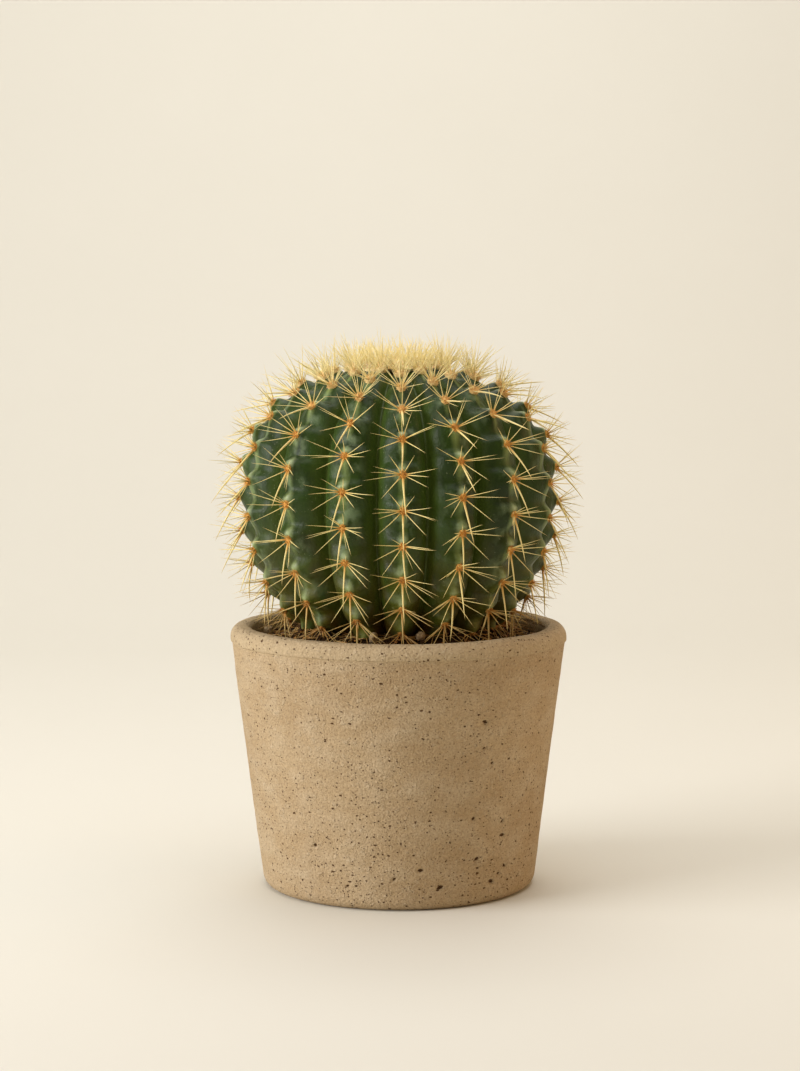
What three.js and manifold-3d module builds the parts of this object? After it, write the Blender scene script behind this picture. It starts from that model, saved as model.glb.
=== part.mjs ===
// A round cactus in a cast concrete pot. Millimetres, +Z up.
// The origin is the centre of the pot's underside, and one rib of the cactus faces -Y.

import * as THREE from 'three';
import { mergeVertices } from 'three/addons/utils/BufferGeometryUtils.js';
import Module from 'manifold-3d';

const wasm = await Module();
wasm.setup();

// ---- Driving dimensions ----

// Free gap between pieces that touch.
const CLEARANCE = 0.3;

// Cast concrete pot: a tapered wall with a thicker, rounded lip and a hole to drain it.
const POT_HEIGHT = 109;
const POT_LIP_RADIUS = 70;
const POT_BASE_RADIUS = 56.5;
const POT_WALL = 9;
const POT_FLOOR = 12;
const POT_SIDES = 48;
const LIP_HEIGHT = 7;
const LIP_PROUD = 0.6;
const LIP_OUTER_ROUNDING = 4.5;
const LIP_INNER_ROUNDING = 2.5;
const BASE_ROUNDING = 4.5;
const FLOOR_ROUNDING = 5;
const DRAIN_RADIUS = 9;
const ROUNDING_STEPS = 3;

// Potting soil: fills the pot to a little below the lip, and rises towards the plant.
const SOIL_DROP = 7;
const SOIL_RISE = 1.5;
const SOIL_CROWN_RADIUS = 30;

// Cactus body: a globe that is wider than tall, with a flattened crown, set into the soil.
const BODY_RADIUS = 66;
const BODY_EQUATOR_ABOVE_SOIL = 60;
const BODY_CROWN_RISE = 54.5;
const BODY_BASE_DROP = 70;
const CROWN_SQUARENESS = 2.4;

// Ribs: a crest, two broad flanks and a narrow valley each. They grew a few degrees off an even spacing.
const RIB_DRIFT_DEGREES = [1.5, 0, -1, 1, 0, 1, -0.8, 0.6, -1, 0.4, 1, -0.6, 0.5, 0, 2.8, 3];
const RIB_COUNT = RIB_DRIFT_DEGREES.length;
const RIB_DEPTH = 12;
const COLUMNS_PER_RIB = 4;
const FLANK_SINK = 0.26;
const FLANK_SPREAD = 0.32;
const NOTCH_DEPTH = 2.4;
const NOTCH_FADE_RADIUS = 24;
const RIB_SEAT_CLEARANCE = 0.6;

// Areoles: felt pads along each crest, staggered by half a step from rib to rib.
const AREOLE_STEP = 14.15;
const AREOLE_ABOVE_SOIL = 7;
const AREOLE_RADIUS = 1.9;
const AREOLE_THICKNESS = 1.4;
const AREOLE_SIDES = 6;

// Spines: degrees anticlockwise from the rib's right-hand side, and millimetres.
const LATERAL_HEADING = 10;
const LATERAL_LENGTH = 12.5;
const DIAGONAL_HEADING = -44;
const DIAGONAL_LENGTH = 12;
const UPPER_LENGTH = 8;
const CENTRAL_LENGTH = 18;
const LOWEST_LENGTH = 9;
const SPINE_LEAN = 18;
const UPPER_LEAN = 38;
const CENTRAL_LEAN = 26;
const YOUNG_LEAN = 62;
const YOUNG_CENTRAL_LENGTH = 12;
const YOUNG_ZONE = 34;
const VALLEY_MARGIN = 0.6;
const REACH_STEP = 0.25;
const SPINE_SIDES = 3;

// Crown tuft: wool and the youngest spines at the growing point.
const TUFT_RADIUS = 16;
const TUFT_HEIGHT = 5.5;
const TUFT_SIDES = 12;
const TUFT_SPINE_RADIUS = 1.3;
const TUFT_SPINE_LENGTH = 10;
const TUFT_RING_RADIUS = 9;
const TUFT_RING_COUNT = 6;
const TUFT_SPLAY = 16;

// Grit: loose stones in the ring of bare soil inside the lip.
const GRIT_BAND = 9;
const GRIT_STONES = [
  { bearing: -11, size: 2.3 },
  { bearing: 10, size: 2.6 },
  { bearing: 56, size: 1.9 },
  { bearing: 124, size: 2.4 },
  { bearing: 191, size: 2.1 },
  { bearing: 259, size: 2.5 },
];
const GRIT_FLATNESS = 0.75;
const GRIT_TURN = 0.7;

// ---- Values that follow from them ----

const SOIL_EDGE_HEIGHT = POT_HEIGHT - SOIL_DROP;
const BODY_EQUATOR = SOIL_EDGE_HEIGHT + BODY_EQUATOR_ABOVE_SOIL;
const LIP_UNDERSIDE = POT_HEIGHT - LIP_HEIGHT;
const RIB_ANGLE = (2 * Math.PI) / RIB_COUNT;
const RIB_BEARINGS = RIB_DRIFT_DEGREES.map(
  (drift, rib) => rib * RIB_ANGLE + THREE.MathUtils.degToRad(drift),
);
const HALF_STEP = AREOLE_STEP / 2;
const POLE_MARGIN = HALF_STEP / 2;
const SOIL_MARGIN = 2 * CLEARANCE;
const CREST_DIVISIONS = 600;
const BISECTIONS = 40;

// ---- Geometry helpers ----

/** Turns a lathe's +Y axis up, so that its first column lies towards -Y. */
function lathe(profile, sides) {
  return new THREE.LatheGeometry(profile, sides).rotateX(Math.PI / 2);
}

/** Points on a round corner, between two angles in degrees. */
function corner(centreX, centreY, radius, fromAngle, toAngle) {
  const points = [];
  for (let i = 0; i <= ROUNDING_STEPS; i += 1) {
    const angle = THREE.MathUtils.degToRad(THREE.MathUtils.lerp(fromAngle, toAngle, i / ROUNDING_STEPS));
    points.push(new THREE.Vector2(centreX + radius * Math.cos(angle), centreY + radius * Math.sin(angle)));
  }
  return points;
}

/** A closed geometry as a solid, with its shared vertices merged and its collapsed triangles left out. */
function toSolid(geometry) {
  const bare = geometry.clone();
  bare.deleteAttribute('normal');
  bare.deleteAttribute('uv');
  const merged = mergeVertices(bare);
  const all = merged.index.array;
  const triVerts = [];
  for (let i = 0; i < all.length; i += 3) {
    const [a, b, c] = [all[i], all[i + 1], all[i + 2]];
    if (a !== b && b !== c && c !== a) triVerts.push(a, b, c);
  }
  return new wasm.Manifold(new wasm.Mesh({
    numProp: 3,
    vertProperties: merged.attributes.position.array,
    triVerts: new Uint32Array(triVerts),
  }));
}

/** A solid back as a geometry. */
function toGeometry(solid) {
  const { vertProperties, triVerts } = solid.getMesh();
  const geometry = new THREE.BufferGeometry();
  geometry.setAttribute('position', new THREE.BufferAttribute(vertProperties, 3));
  geometry.setIndex(new THREE.BufferAttribute(triVerts, 1));
  geometry.computeVertexNormals();
  return geometry;
}

/** A named mesh with its own plain material. */
function piece(name, solid, color, roughness) {
  const material = new THREE.MeshStandardMaterial({ color, roughness, metalness: 0 });
  const mesh = new THREE.Mesh(toGeometry(solid), material);
  mesh.name = name;
  return mesh;
}

// ---- Pot ----

/** Outer radius of the tapered wall at a height. */
function wallRadius(height) {
  return THREE.MathUtils.mapLinear(height, 0, LIP_UNDERSIDE, POT_BASE_RADIUS, POT_LIP_RADIUS - LIP_PROUD);
}

/** Inner radius of the pot at a height. */
function cavityRadius(height) {
  return wallRadius(height) - POT_WALL;
}

function makePot() {
  const lipInside = cavityRadius(POT_HEIGHT);
  const outerCorner = corner(
    POT_LIP_RADIUS - LIP_OUTER_ROUNDING, POT_HEIGHT - LIP_OUTER_ROUNDING, LIP_OUTER_ROUNDING, 0, 90,
  );
  const innerCorner = corner(
    lipInside + LIP_INNER_ROUNDING, POT_HEIGHT - LIP_INNER_ROUNDING, LIP_INNER_ROUNDING, 90, 180,
  );
  const baseCentre = wallRadius(BASE_ROUNDING) - BASE_ROUNDING;
  const baseCorner = corner(baseCentre, BASE_ROUNDING, BASE_ROUNDING, -90, 0);
  const floorBend = POT_FLOOR + FLOOR_ROUNDING;
  const floorCorner = corner(cavityRadius(floorBend) - FLOOR_ROUNDING, floorBend, FLOOR_ROUNDING, 0, -90);
  const profile = [
    new THREE.Vector2(DRAIN_RADIUS, 0),
    ...baseCorner,
    new THREE.Vector2(wallRadius(LIP_UNDERSIDE - LIP_PROUD), LIP_UNDERSIDE - LIP_PROUD),
    new THREE.Vector2(POT_LIP_RADIUS, LIP_UNDERSIDE),
    ...outerCorner,
    ...innerCorner,
    ...floorCorner,
    new THREE.Vector2(DRAIN_RADIUS, POT_FLOOR),
    new THREE.Vector2(DRAIN_RADIUS, 0),
  ];
  return piece('pot', toSolid(lathe(profile, POT_SIDES)), 0xb49b78, 0.85);
}

// ---- Cactus body ----

/** The line of a rib's crest, as (radius, height), from the lower pole to the crown. */
class CrestLine extends THREE.Curve {
  getPoint(t, target = new THREE.Vector2()) {
    const angle = (t - 0.5) * Math.PI;
    const power = angle > 0 ? 2 / CROWN_SQUARENESS : 1;
    const rise = angle > 0 ? BODY_CROWN_RISE : -BODY_BASE_DROP;
    const radius = BODY_RADIUS * Math.max(Math.cos(angle), 0) ** power;
    return target.set(radius, BODY_EQUATOR + rise * Math.abs(Math.sin(angle)) ** power);
  }

  /** Point, upward tangent and outward normal at a distance along the line. */
  frameAt(distance) {
    const u = THREE.MathUtils.clamp(distance / this.getLength(), 0, 1);
    const point = this.getPointAt(u);
    const tangent = this.getTangentAt(u);
    const normal = new THREE.Vector2(tangent.y, -tangent.x);
    return { point, tangent, normal };
  }

  /** Distance along the line, below the equator, at which it reaches a height. */
  distanceAtHeight(height) {
    let [low, high] = [0, this.getLength() / 2];
    for (let i = 0; i < BISECTIONS; i += 1) {
      const middle = (low + high) / 2;
      if (this.frameAt(middle).point.y < height) low = middle;
      else high = middle;
    }
    return low;
  }
}

const crest = new CrestLine();
crest.arcLengthDivisions = CREST_DIVISIONS;

const FIRST_AREOLE = crest.distanceAtHeight(SOIL_EDGE_HEIGHT) + AREOLE_ABOVE_SOIL;
const CREST_LENGTH = crest.getLength();

/** Whether the row of an index, in half steps from the first areole, has areoles on a rib. */
function hasAreole(row, rib) {
  return (row + rib) % 2 !== 0;
}

/** The half steps along the crest line that the body's surface is built on, poles left out. */
function bodyRows() {
  const rows = [];
  const lowest = Math.ceil((POLE_MARGIN - FIRST_AREOLE) / HALF_STEP);
  const highest = Math.floor((CREST_LENGTH - POLE_MARGIN - FIRST_AREOLE) / HALF_STEP);
  for (let row = lowest; row <= highest; row += 1) rows.push(row);
  return rows;
}

/** How far a point of the surface lies below the crest line, for a row and a column of the ribs. */
function sinkAt(row, column, radius) {
  const rib = Math.floor(column / COLUMNS_PER_RIB + 0.5);
  const place = column - rib * COLUMNS_PER_RIB;
  const depth = RIB_DEPTH * (radius / BODY_RADIUS);
  const fade = Math.min(1, radius / NOTCH_FADE_RADIUS);
  const notch = hasAreole(row, rib) ? 0 : NOTCH_DEPTH * fade;
  if (place === 0) return notch;
  if (Math.abs(place) === 1) return depth * FLANK_SINK + notch / 2;
  return depth;
}

/** The bearing of a rib's crest, for any whole number of ribs round from the front. */
function ribBearing(rib) {
  const turns = Math.floor(rib / RIB_COUNT);
  return RIB_BEARINGS[rib - turns * RIB_COUNT] + turns * 2 * Math.PI;
}

/** The bearing of a column, with the flank columns moved towards the valleys. */
function bearingOf(column) {
  const rib = Math.floor(column / COLUMNS_PER_RIB + 0.5);
  const place = column - rib * COLUMNS_PER_RIB;
  const share = Math.abs(place) === 1 ? FLANK_SPREAD : Math.abs(place) / COLUMNS_PER_RIB;
  return THREE.MathUtils.lerp(ribBearing(rib), ribBearing(rib + Math.sign(place)), share);
}

/** The ribbed body, grown outwards by an allowance. */
function bodySolid(grow = 0) {
  const rows = bodyRows();
  const distances = [0, ...rows.map((row) => FIRST_AREOLE + row * HALF_STEP), CREST_LENGTH];
  const columns = RIB_COUNT * COLUMNS_PER_RIB;
  const profile = distances.map((distance) => crest.frameAt(distance).point);
  const geometry = lathe(profile, columns);
  const position = geometry.attributes.position;
  for (let i = 0; i < position.count; i += 1) {
    const column = Math.floor(i / distances.length) % columns;
    const level = i % distances.length;
    const isPole = level === 0 || level === distances.length - 1;
    const { point, normal } = crest.frameAt(distances[level]);
    const sink = isPole ? 0 : sinkAt(rows[level - 1], column, point.x);
    const radius = isPole ? 0 : point.x + (grow - sink) * normal.x;
    const height = point.y + (grow - sink) * normal.y;
    const bearing = bearingOf(column);
    position.setXYZ(i, radius * Math.sin(bearing), -radius * Math.cos(bearing), height);
  }
  return toSolid(geometry);
}

function makeBody() {
  return piece('cactus_body', bodySolid(), 0x2f5a35, 0.45);
}

// ---- Potting soil ----

/** Height of the soil's surface at a radius. */
function soilHeight(radius) {
  const edge = cavityRadius(SOIL_EDGE_HEIGHT);
  const share = THREE.MathUtils.clamp((edge - radius) / (edge - SOIL_CROWN_RADIUS), 0, 1);
  return SOIL_EDGE_HEIGHT + SOIL_RISE * share;
}

function makeSoil(bodyWithGap) {
  const bottom = POT_FLOOR + CLEARANCE;
  const edgeRadius = cavityRadius(SOIL_EDGE_HEIGHT) - CLEARANCE;
  const profile = [
    new THREE.Vector2(0, bottom),
    ...corner(
      cavityRadius(bottom + FLOOR_ROUNDING) - FLOOR_ROUNDING - CLEARANCE, bottom + FLOOR_ROUNDING,
      FLOOR_ROUNDING, -90, 0,
    ),
    new THREE.Vector2(edgeRadius, SOIL_EDGE_HEIGHT),
    new THREE.Vector2(SOIL_CROWN_RADIUS, soilHeight(SOIL_CROWN_RADIUS)),
    new THREE.Vector2(0, soilHeight(0)),
  ];
  const heap = toSolid(lathe(profile, POT_SIDES));
  return piece('potting_soil', heap.subtract(bodyWithGap), 0x33261b, 1);
}

// ---- Spines ----

/** The axes of an areole: across the rib, up along the crest and straight out of it. */
function areoleFrame(distance, rib) {
  const { point, tangent, normal } = crest.frameAt(distance);
  const bearing = ribBearing(rib);
  const away = new THREE.Vector3(Math.sin(bearing), -Math.cos(bearing), 0);
  const along = ({ x, y }) => away.clone().multiplyScalar(x).setZ(y);
  return {
    centre: along(point),
    across: new THREE.Vector3(Math.cos(bearing), Math.sin(bearing), 0),
    up: along(tangent),
    out: along(normal),
    away,
  };
}

/** A direction from an areole, by its heading across the rib and its lean out of the surface. */
function direction(frame, heading, lean) {
  const [turn, tilt] = [THREE.MathUtils.degToRad(heading), THREE.MathUtils.degToRad(lean)];
  return new THREE.Vector3()
    .addScaledVector(frame.across, Math.cos(turn) * Math.cos(tilt))
    .addScaledVector(frame.up, Math.sin(turn) * Math.cos(tilt))
    .addScaledVector(frame.out, Math.sin(tilt));
}

/** Half of the narrowest angle between two neighbouring ribs. */
const RIB_GAPS = RIB_BEARINGS.map((bearing, rib) => ribBearing(rib + 1) - bearing);
const SECTOR_HALF_ANGLE = Math.min(...RIB_GAPS) / 2;

/** Whether a point is over the soil, inside or above the lip, and in its own rib's sector. */
function isFree(point, away) {
  const radius = Math.hypot(point.x, point.y);
  const forward = point.dot(away);
  const sideways = Math.sqrt(Math.max(radius ** 2 - forward ** 2, 0));
  const overSoil = point.z > soilHeight(radius) + SOIL_MARGIN;
  const inLip = point.z > POT_HEIGHT + CLEARANCE || radius < cavityRadius(SOIL_EDGE_HEIGHT) - GRIT_BAND;
  return overSoil && inLip && sideways < forward * Math.tan(SECTOR_HALF_ANGLE) - VALLEY_MARGIN;
}

/** The tip of a spine, drawn back until the whole spine is free. */
function tipOf(start, heading, length, away) {
  let reach = REACH_STEP;
  const tip = start.clone().addScaledVector(heading, reach);
  while (reach < length && isFree(tip, away)) {
    reach += REACH_STEP;
    tip.copy(start).addScaledVector(heading, reach);
  }
  return tip;
}

/** One areole's pad, with a spine drawn out of each of its sides and one out of its face. */
function areoleGeometry(distance, rib, lowerDistance) {
  const frame = areoleFrame(distance, rib);
  const youngFrom = CREST_LENGTH - YOUNG_ZONE;
  const youth = THREE.MathUtils.smoothstep(distance, youngFrom - YOUNG_ZONE, youngFrom);
  const leanOf = (lean) => THREE.MathUtils.lerp(lean, Math.max(lean, YOUNG_LEAN), youth);
  const place = (angle, height) => frame.centre.clone()
    .addScaledVector(frame.across, AREOLE_RADIUS * Math.cos(angle))
    .addScaledVector(frame.up, AREOLE_RADIUS * Math.sin(angle))
    .addScaledVector(frame.out, height);
  const ring = (height) => Array.from(
    { length: AREOLE_SIDES }, (_, i) => place((i * 2 * Math.PI) / AREOLE_SIDES, height),
  );
  const top = CLEARANCE + AREOLE_THICKNESS;
  const middle = frame.centre.clone().addScaledVector(frame.out, CLEARANCE + AREOLE_THICKNESS / 2);
  const spine = (heading, lean, length) => tipOf(
    middle, direction(frame, heading, leanOf(lean)), length + AREOLE_RADIUS, frame.away,
  );
  const lowest = () => {
    if (lowerDistance === undefined) return spine(-90, SPINE_LEAN, LOWEST_LENGTH);
    const lower = areoleFrame(lowerDistance, rib);
    return lower.centre.addScaledVector(lower.out, CLEARANCE + AREOLE_THICKNESS / 2);
  };
  const sideTips = [
    spine(LATERAL_HEADING, SPINE_LEAN, LATERAL_LENGTH),
    spine(90, UPPER_LEAN, UPPER_LENGTH),
    spine(180 - LATERAL_HEADING, SPINE_LEAN, LATERAL_LENGTH),
    spine(180 - DIAGONAL_HEADING, SPINE_LEAN, DIAGONAL_LENGTH),
    lowest(),
    spine(DIAGONAL_HEADING, SPINE_LEAN, DIAGONAL_LENGTH),
  ];
  const centralLength = THREE.MathUtils.lerp(CENTRAL_LENGTH, YOUNG_CENTRAL_LENGTH, youth);
  const centralTip = spine(-90, CENTRAL_LEAN, centralLength);
  return starGeometry(ring(CLEARANCE), ring(top), sideTips, centralTip);
}

/** A closed prism whose sides and outer face are each drawn out to a tip. */
function starGeometry(inner, outer, sideTips, outerTip) {
  const corners = [];
  inner.forEach((start, i) => {
    const next = (i + 1) % inner.length;
    const loop = [start, inner[next], outer[next], outer[i]];
    loop.forEach((point, j) => corners.push(point, loop[(j + 1) % loop.length], sideTips[i]));
    corners.push(outer[i], outer[next], outerTip);
    if (i > 0 && next > 0) corners.push(inner[0], inner[next], start);
  });
  return new THREE.BufferGeometry().setFromPoints(corners);
}

/** The distances along the crest of a rib's areoles, from the soil up to the tuft. */
function areoleDistances(rib) {
  const distances = [];
  for (const row of bodyRows()) {
    const distance = FIRST_AREOLE + row * HALF_STEP;
    const clearOfTuft = crest.frameAt(distance).point.x > TUFT_RADIUS + AREOLE_RADIUS + CLEARANCE;
    if (row >= 0 && hasAreole(row, rib) && clearOfTuft) distances.push(distance);
  }
  return distances;
}

/** A rib's areoles and spines: each lowest spine reaches the next areole, so the row is one piece. */
function makeSpineRow(rib) {
  const distances = areoleDistances(rib);
  const clusters = distances.map(
    (distance, i) => toSolid(areoleGeometry(distance, rib, distances[i - 1])),
  );
  const name = `spine_row_${String(rib + 1).padStart(2, '0')}`;
  return piece(name, wasm.Manifold.union(clusters), 0xe2cd92, 0.6);
}

// ---- Crown tuft ----

/** One upright young spine, leaning away from the growing point. */
function tuftSpine(bearing, distance, splay) {
  const cone = new THREE.ConeGeometry(TUFT_SPINE_RADIUS, TUFT_SPINE_LENGTH, SPINE_SIDES);
  cone.rotateX(Math.PI / 2);
  cone.rotateX(THREE.MathUtils.degToRad(splay)).translate(0, -distance, 0).rotateZ(bearing);
  return toSolid(cone.translate(0, 0, BODY_EQUATOR + BODY_CROWN_RISE + TUFT_HEIGHT));
}

function makeCrownTuft(bodyWithGap) {
  const crown = BODY_EQUATOR + BODY_CROWN_RISE;
  const dome = new THREE.SphereGeometry(TUFT_RADIUS, TUFT_SIDES, TUFT_SIDES / 2);
  dome.rotateX(Math.PI / 2).scale(1, 1, TUFT_HEIGHT / TUFT_RADIUS).translate(0, 0, crown);
  const spines = [tuftSpine(0, 0, 0)];
  for (let i = 0; i < TUFT_RING_COUNT; i += 1) {
    spines.push(tuftSpine((i * 2 * Math.PI) / TUFT_RING_COUNT, TUFT_RING_RADIUS, TUFT_SPLAY));
  }
  const tuft = wasm.Manifold.union([toSolid(dome), ...spines]);
  return piece('crown_tuft', tuft.subtract(bodyWithGap), 0xe8d9a0, 0.8);
}

// ---- Grit stones ----

/** A small angular stone that lies on the soil in the middle of the bare ring. */
function makeStone({ bearing, size }, index) {
  const distance = cavityRadius(SOIL_EDGE_HEIGHT) - GRIT_BAND / 2;
  const angle = THREE.MathUtils.degToRad(bearing);
  const stone = new THREE.IcosahedronGeometry(size);
  stone.scale(1, 1, GRIT_FLATNESS).rotateX(index * GRIT_TURN).rotateZ(index);
  stone.computeBoundingBox();
  const seat = soilHeight(distance - size) + CLEARANCE - stone.boundingBox.min.z;
  stone.translate(distance * Math.sin(angle), -distance * Math.cos(angle), seat);
  return piece(`grit_stone_${index + 1}`, toSolid(stone), 0xa48f76, 0.9);
}

// ---- Assembly ----

const plant = new THREE.Group();
const bodyWithGap = bodySolid(RIB_SEAT_CLEARANCE);
plant.add(makePot(), makeSoil(bodyWithGap), makeBody(), makeCrownTuft(bodyWithGap));
for (let rib = 0; rib < RIB_COUNT; rib += 1) plant.add(makeSpineRow(rib));
GRIT_STONES.forEach((stone, index) => plant.add(makeStone(stone, index)));

export default plant;
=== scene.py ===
"""The looks of a round cactus in a cast concrete pot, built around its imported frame.

The frame is in metres with +Z up. The classes below hold their sizes in millimetres, and Piece.build
turns them to metres. One rib of the cactus faces -Y, and bearings run from there towards +X.
"""
import itertools
import logging
import math
from collections.abc import Callable
from dataclasses import dataclass, field
from enum import Enum

import bmesh
import bpy
import numpy as np
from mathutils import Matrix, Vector


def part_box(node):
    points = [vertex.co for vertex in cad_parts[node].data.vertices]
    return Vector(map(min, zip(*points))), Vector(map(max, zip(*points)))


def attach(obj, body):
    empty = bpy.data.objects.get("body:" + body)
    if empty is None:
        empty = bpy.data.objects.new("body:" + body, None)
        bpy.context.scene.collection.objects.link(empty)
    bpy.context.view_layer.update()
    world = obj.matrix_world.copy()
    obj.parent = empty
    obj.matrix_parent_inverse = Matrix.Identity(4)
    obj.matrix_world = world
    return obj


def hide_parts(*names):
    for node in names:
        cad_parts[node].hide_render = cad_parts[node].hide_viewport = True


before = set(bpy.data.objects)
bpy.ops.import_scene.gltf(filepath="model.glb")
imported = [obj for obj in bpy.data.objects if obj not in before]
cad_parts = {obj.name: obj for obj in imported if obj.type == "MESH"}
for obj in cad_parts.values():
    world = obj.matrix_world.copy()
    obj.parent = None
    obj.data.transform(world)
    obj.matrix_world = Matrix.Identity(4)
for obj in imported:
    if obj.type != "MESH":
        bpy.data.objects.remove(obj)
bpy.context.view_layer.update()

BODY = "root"
MM = 0.001
FULL_TURN = 2 * math.pi
LOG = logging.getLogger("cactus")

Place = tuple[float, float, float]
Span = tuple[float, float]


class Slot(Enum):
    """The record's material slots."""

    CONCRETE = "concrete"
    SOIL = "soil"
    SKIN = "skin"
    WOOL = "wool"
    SPINES = "spines"
    GRIT = "grit"


# ---- Numbers, noise and curves ----


def smooth_step(low: float, high: float, value: np.ndarray) -> np.ndarray:
    """Rises smoothly from 0 at low to 1 at high, or falls where low is the larger one.

    Args:
        low: value at which the step starts.
        high: value at which it ends.
        value: where it is read.

    Returns:
        The step's height at each value.
    """
    share = np.clip((value - low) / (high - low), 0, 1)
    return share * share * (3 - 2 * share)


def noise(points: np.ndarray, size: float, seed: int) -> np.ndarray:
    """Smooth random values on a lattice.

    Args:
        points: positions in millimetres, one per row.
        size: edge of the lattice's cells in millimetres.
        seed: picks one pattern.

    Returns:
        A value from -1 to 1 for each point.
    """
    primes = np.array([73856093, 19349663, 83492791])
    mixer, low_bits = 1274126177, 0xFFFF
    cell = points / size
    base = np.floor(cell).astype(np.int64)
    part = cell - base
    fade = part * part * (3 - 2 * part)
    total = np.zeros(len(points))
    for corner in itertools.product((0, 1), repeat=3):
        key = np.bitwise_xor.reduce((base + corner) * primes, axis=1) ^ (seed * mixer)
        key = (key ^ (key >> 13)) * mixer
        value = ((key ^ (key >> 16)) & low_bits) / (low_bits / 2) - 1
        total += value * np.prod(np.where(corner, fade, 1 - fade), axis=1)
    return total


@dataclass(frozen=True)
class Wave:
    """One layer of noise: its depth, the size of its features in millimetres, and its seed."""

    depth: float
    size: float
    seed: int


def ripple(points: np.ndarray, waves: tuple[Wave, ...]) -> np.ndarray:
    """Adds up layers of noise at points."""
    return sum(wave.depth * noise(points, wave.size, wave.seed) for wave in waves)


def unit(vectors: np.ndarray) -> np.ndarray:
    """Scales vectors to a length of one."""
    shortest = 1e-12
    return vectors / np.maximum(np.linalg.norm(vectors, axis=-1, keepdims=True), shortest)


def around(radius: np.ndarray, bearing: np.ndarray, height: np.ndarray) -> np.ndarray:
    """Points at a radius, bearing in radians and height."""
    return np.stack([radius * np.sin(bearing), -radius * np.cos(bearing), height + 0 * bearing], axis=-1)


def turn(rng: np.random.Generator) -> np.ndarray:
    """A random rotation as a matrix of three rows."""
    matrix, _ = np.linalg.qr(rng.normal(size=(3, 3)))
    return matrix * np.sign(np.linalg.det(matrix))


@dataclass(frozen=True)
class Crest:
    """The line that the crests of the ribs follow, from the lower pole to the crown."""

    radius: float = 66.0
    equator: float = 162.0
    crown_rise: float = 54.5
    base_drop: float = 70.0
    squareness: float = 2.4
    samples: int = 4001
    reach: float = 0.05

    def line(self) -> tuple[np.ndarray, np.ndarray]:
        """The whole line.

        Returns:
            Distances along it, and its points as radius and height.
        """
        angle = np.linspace(-0.5, 0.5, self.samples) * math.pi
        power = np.where(angle > 0, 2 / self.squareness, 1)
        rise = np.where(angle > 0, self.crown_rise, -self.base_drop)
        points = np.stack([
            self.radius * np.maximum(np.cos(angle), 0) ** power,
            self.equator + rise * np.abs(np.sin(angle)) ** power,
        ], axis=-1)
        steps = np.linalg.norm(np.diff(points, axis=0), axis=1)
        return np.concatenate([[0], np.cumsum(steps)]), points

    @property
    def length(self) -> float:
        """Length of the whole line."""
        return float(self.line()[0][-1])

    def at(self, distance: np.ndarray) -> tuple[np.ndarray, np.ndarray, np.ndarray]:
        """Reads the line.

        Args:
            distance: distances along the line from the lower pole.

        Returns:
            Points, upward tangents and outward normals, each as radius and height.
        """
        along, points = self.line()

        def read(place: np.ndarray) -> np.ndarray:
            """Points at distances that are kept on the line."""
            kept = np.clip(place, 0, along[-1])
            return np.stack([np.interp(kept, along, points[:, i]) for i in (0, 1)], axis=-1)

        tangent = unit(read(distance + self.reach) - read(distance - self.reach))
        normal = np.stack([tangent[..., 1], -tangent[..., 0]], axis=-1)
        return read(distance), tangent, normal

    def distance_at(self, height: float) -> float:
        """Finds a height on the lower half of the line.

        Args:
            height: the height.

        Returns:
            The distance at which the line reaches it.
        """
        along, points = self.line()
        lower = points[:, 1] <= self.equator
        return float(np.interp(height, points[lower, 1], along[lower]))


@dataclass(frozen=True)
class Ribs:
    """Where the ribs stand, and where their areoles sit along them.

    A rib stands drift degrees round from its even place, and its areoles are slid along by slip steps.
    """

    drift: tuple[float, ...] = (
        1.5, 0, -1, 1, 0, 1, -0.8, 0.6,
        -1, 0.4, 1, -0.6, 0.5, 0, 2.8, 3,
    )
    slip: tuple[float, ...] = (
        0, -0.15, -0.22, 0.06, -0.1, 0.08, 0, -0.12,
        0.1, -0.05, 0.07, -0.1, 0.04, 0.1, 0.08, 0,
    )
    step: float = 14.15
    first_above_soil: float = 7.0
    soil_edge: float = 102.0
    bare_crown: float = 18.2
    most_rows: int = 40
    crest: Crest = Crest()

    @property
    def count(self) -> int:
        """Number of ribs."""
        return len(self.drift)

    def bearing(self, rib: int) -> float:
        """Bearing of a rib's crest in radians, for any whole number of ribs round from the front."""
        turns, place = divmod(rib, self.count)
        return math.radians(place * 360 / self.count + self.drift[place]) + turns * FULL_TURN

    @property
    def first(self) -> float:
        """Distance along the crest of the lowest areoles."""
        return self.crest.distance_at(self.soil_edge) + self.first_above_soil

    def offset(self, rib: int) -> float:
        """How far a rib's areoles start above the first, in steps. Those of every second rib lie between."""
        return (0.0 if rib % 2 else 0.5) + self.slip[rib]

    def distances(self, rib: int) -> np.ndarray:
        """Finds a rib's areoles, from the soil to the crown tuft.

        Args:
            rib: the rib's number.

        Returns:
            Their distances along the crest.
        """
        rows = np.arange(self.most_rows) + self.offset(rib)
        distances = self.first + rows * self.step
        distances = distances[distances < self.crest.length]
        return distances[self.crest.at(distances)[0][:, 0] > self.bare_crown]


# ---- Meshes ----


def grid_faces(rows: int, columns: int, closed: bool = True) -> np.ndarray:
    """Triangles over a grid of points that runs row by row.

    Args:
        rows: number of rows.
        columns: points in each row.
        closed: whether the last column joins the first.

    Returns:
        Three point numbers per triangle, facing out where rows rise and columns run anticlockwise.
    """
    across = np.arange(columns if closed else columns - 1)
    row, column = np.meshgrid(np.arange(rows - 1), across, indexing="ij")
    here, beside = row * columns + column, row * columns + (column + 1) % columns
    low = np.stack([here, beside, beside + columns], -1)
    high = np.stack([here, beside + columns, here + columns], -1)
    return np.concatenate([low.reshape(-1, 3), high.reshape(-1, 3)])


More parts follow.
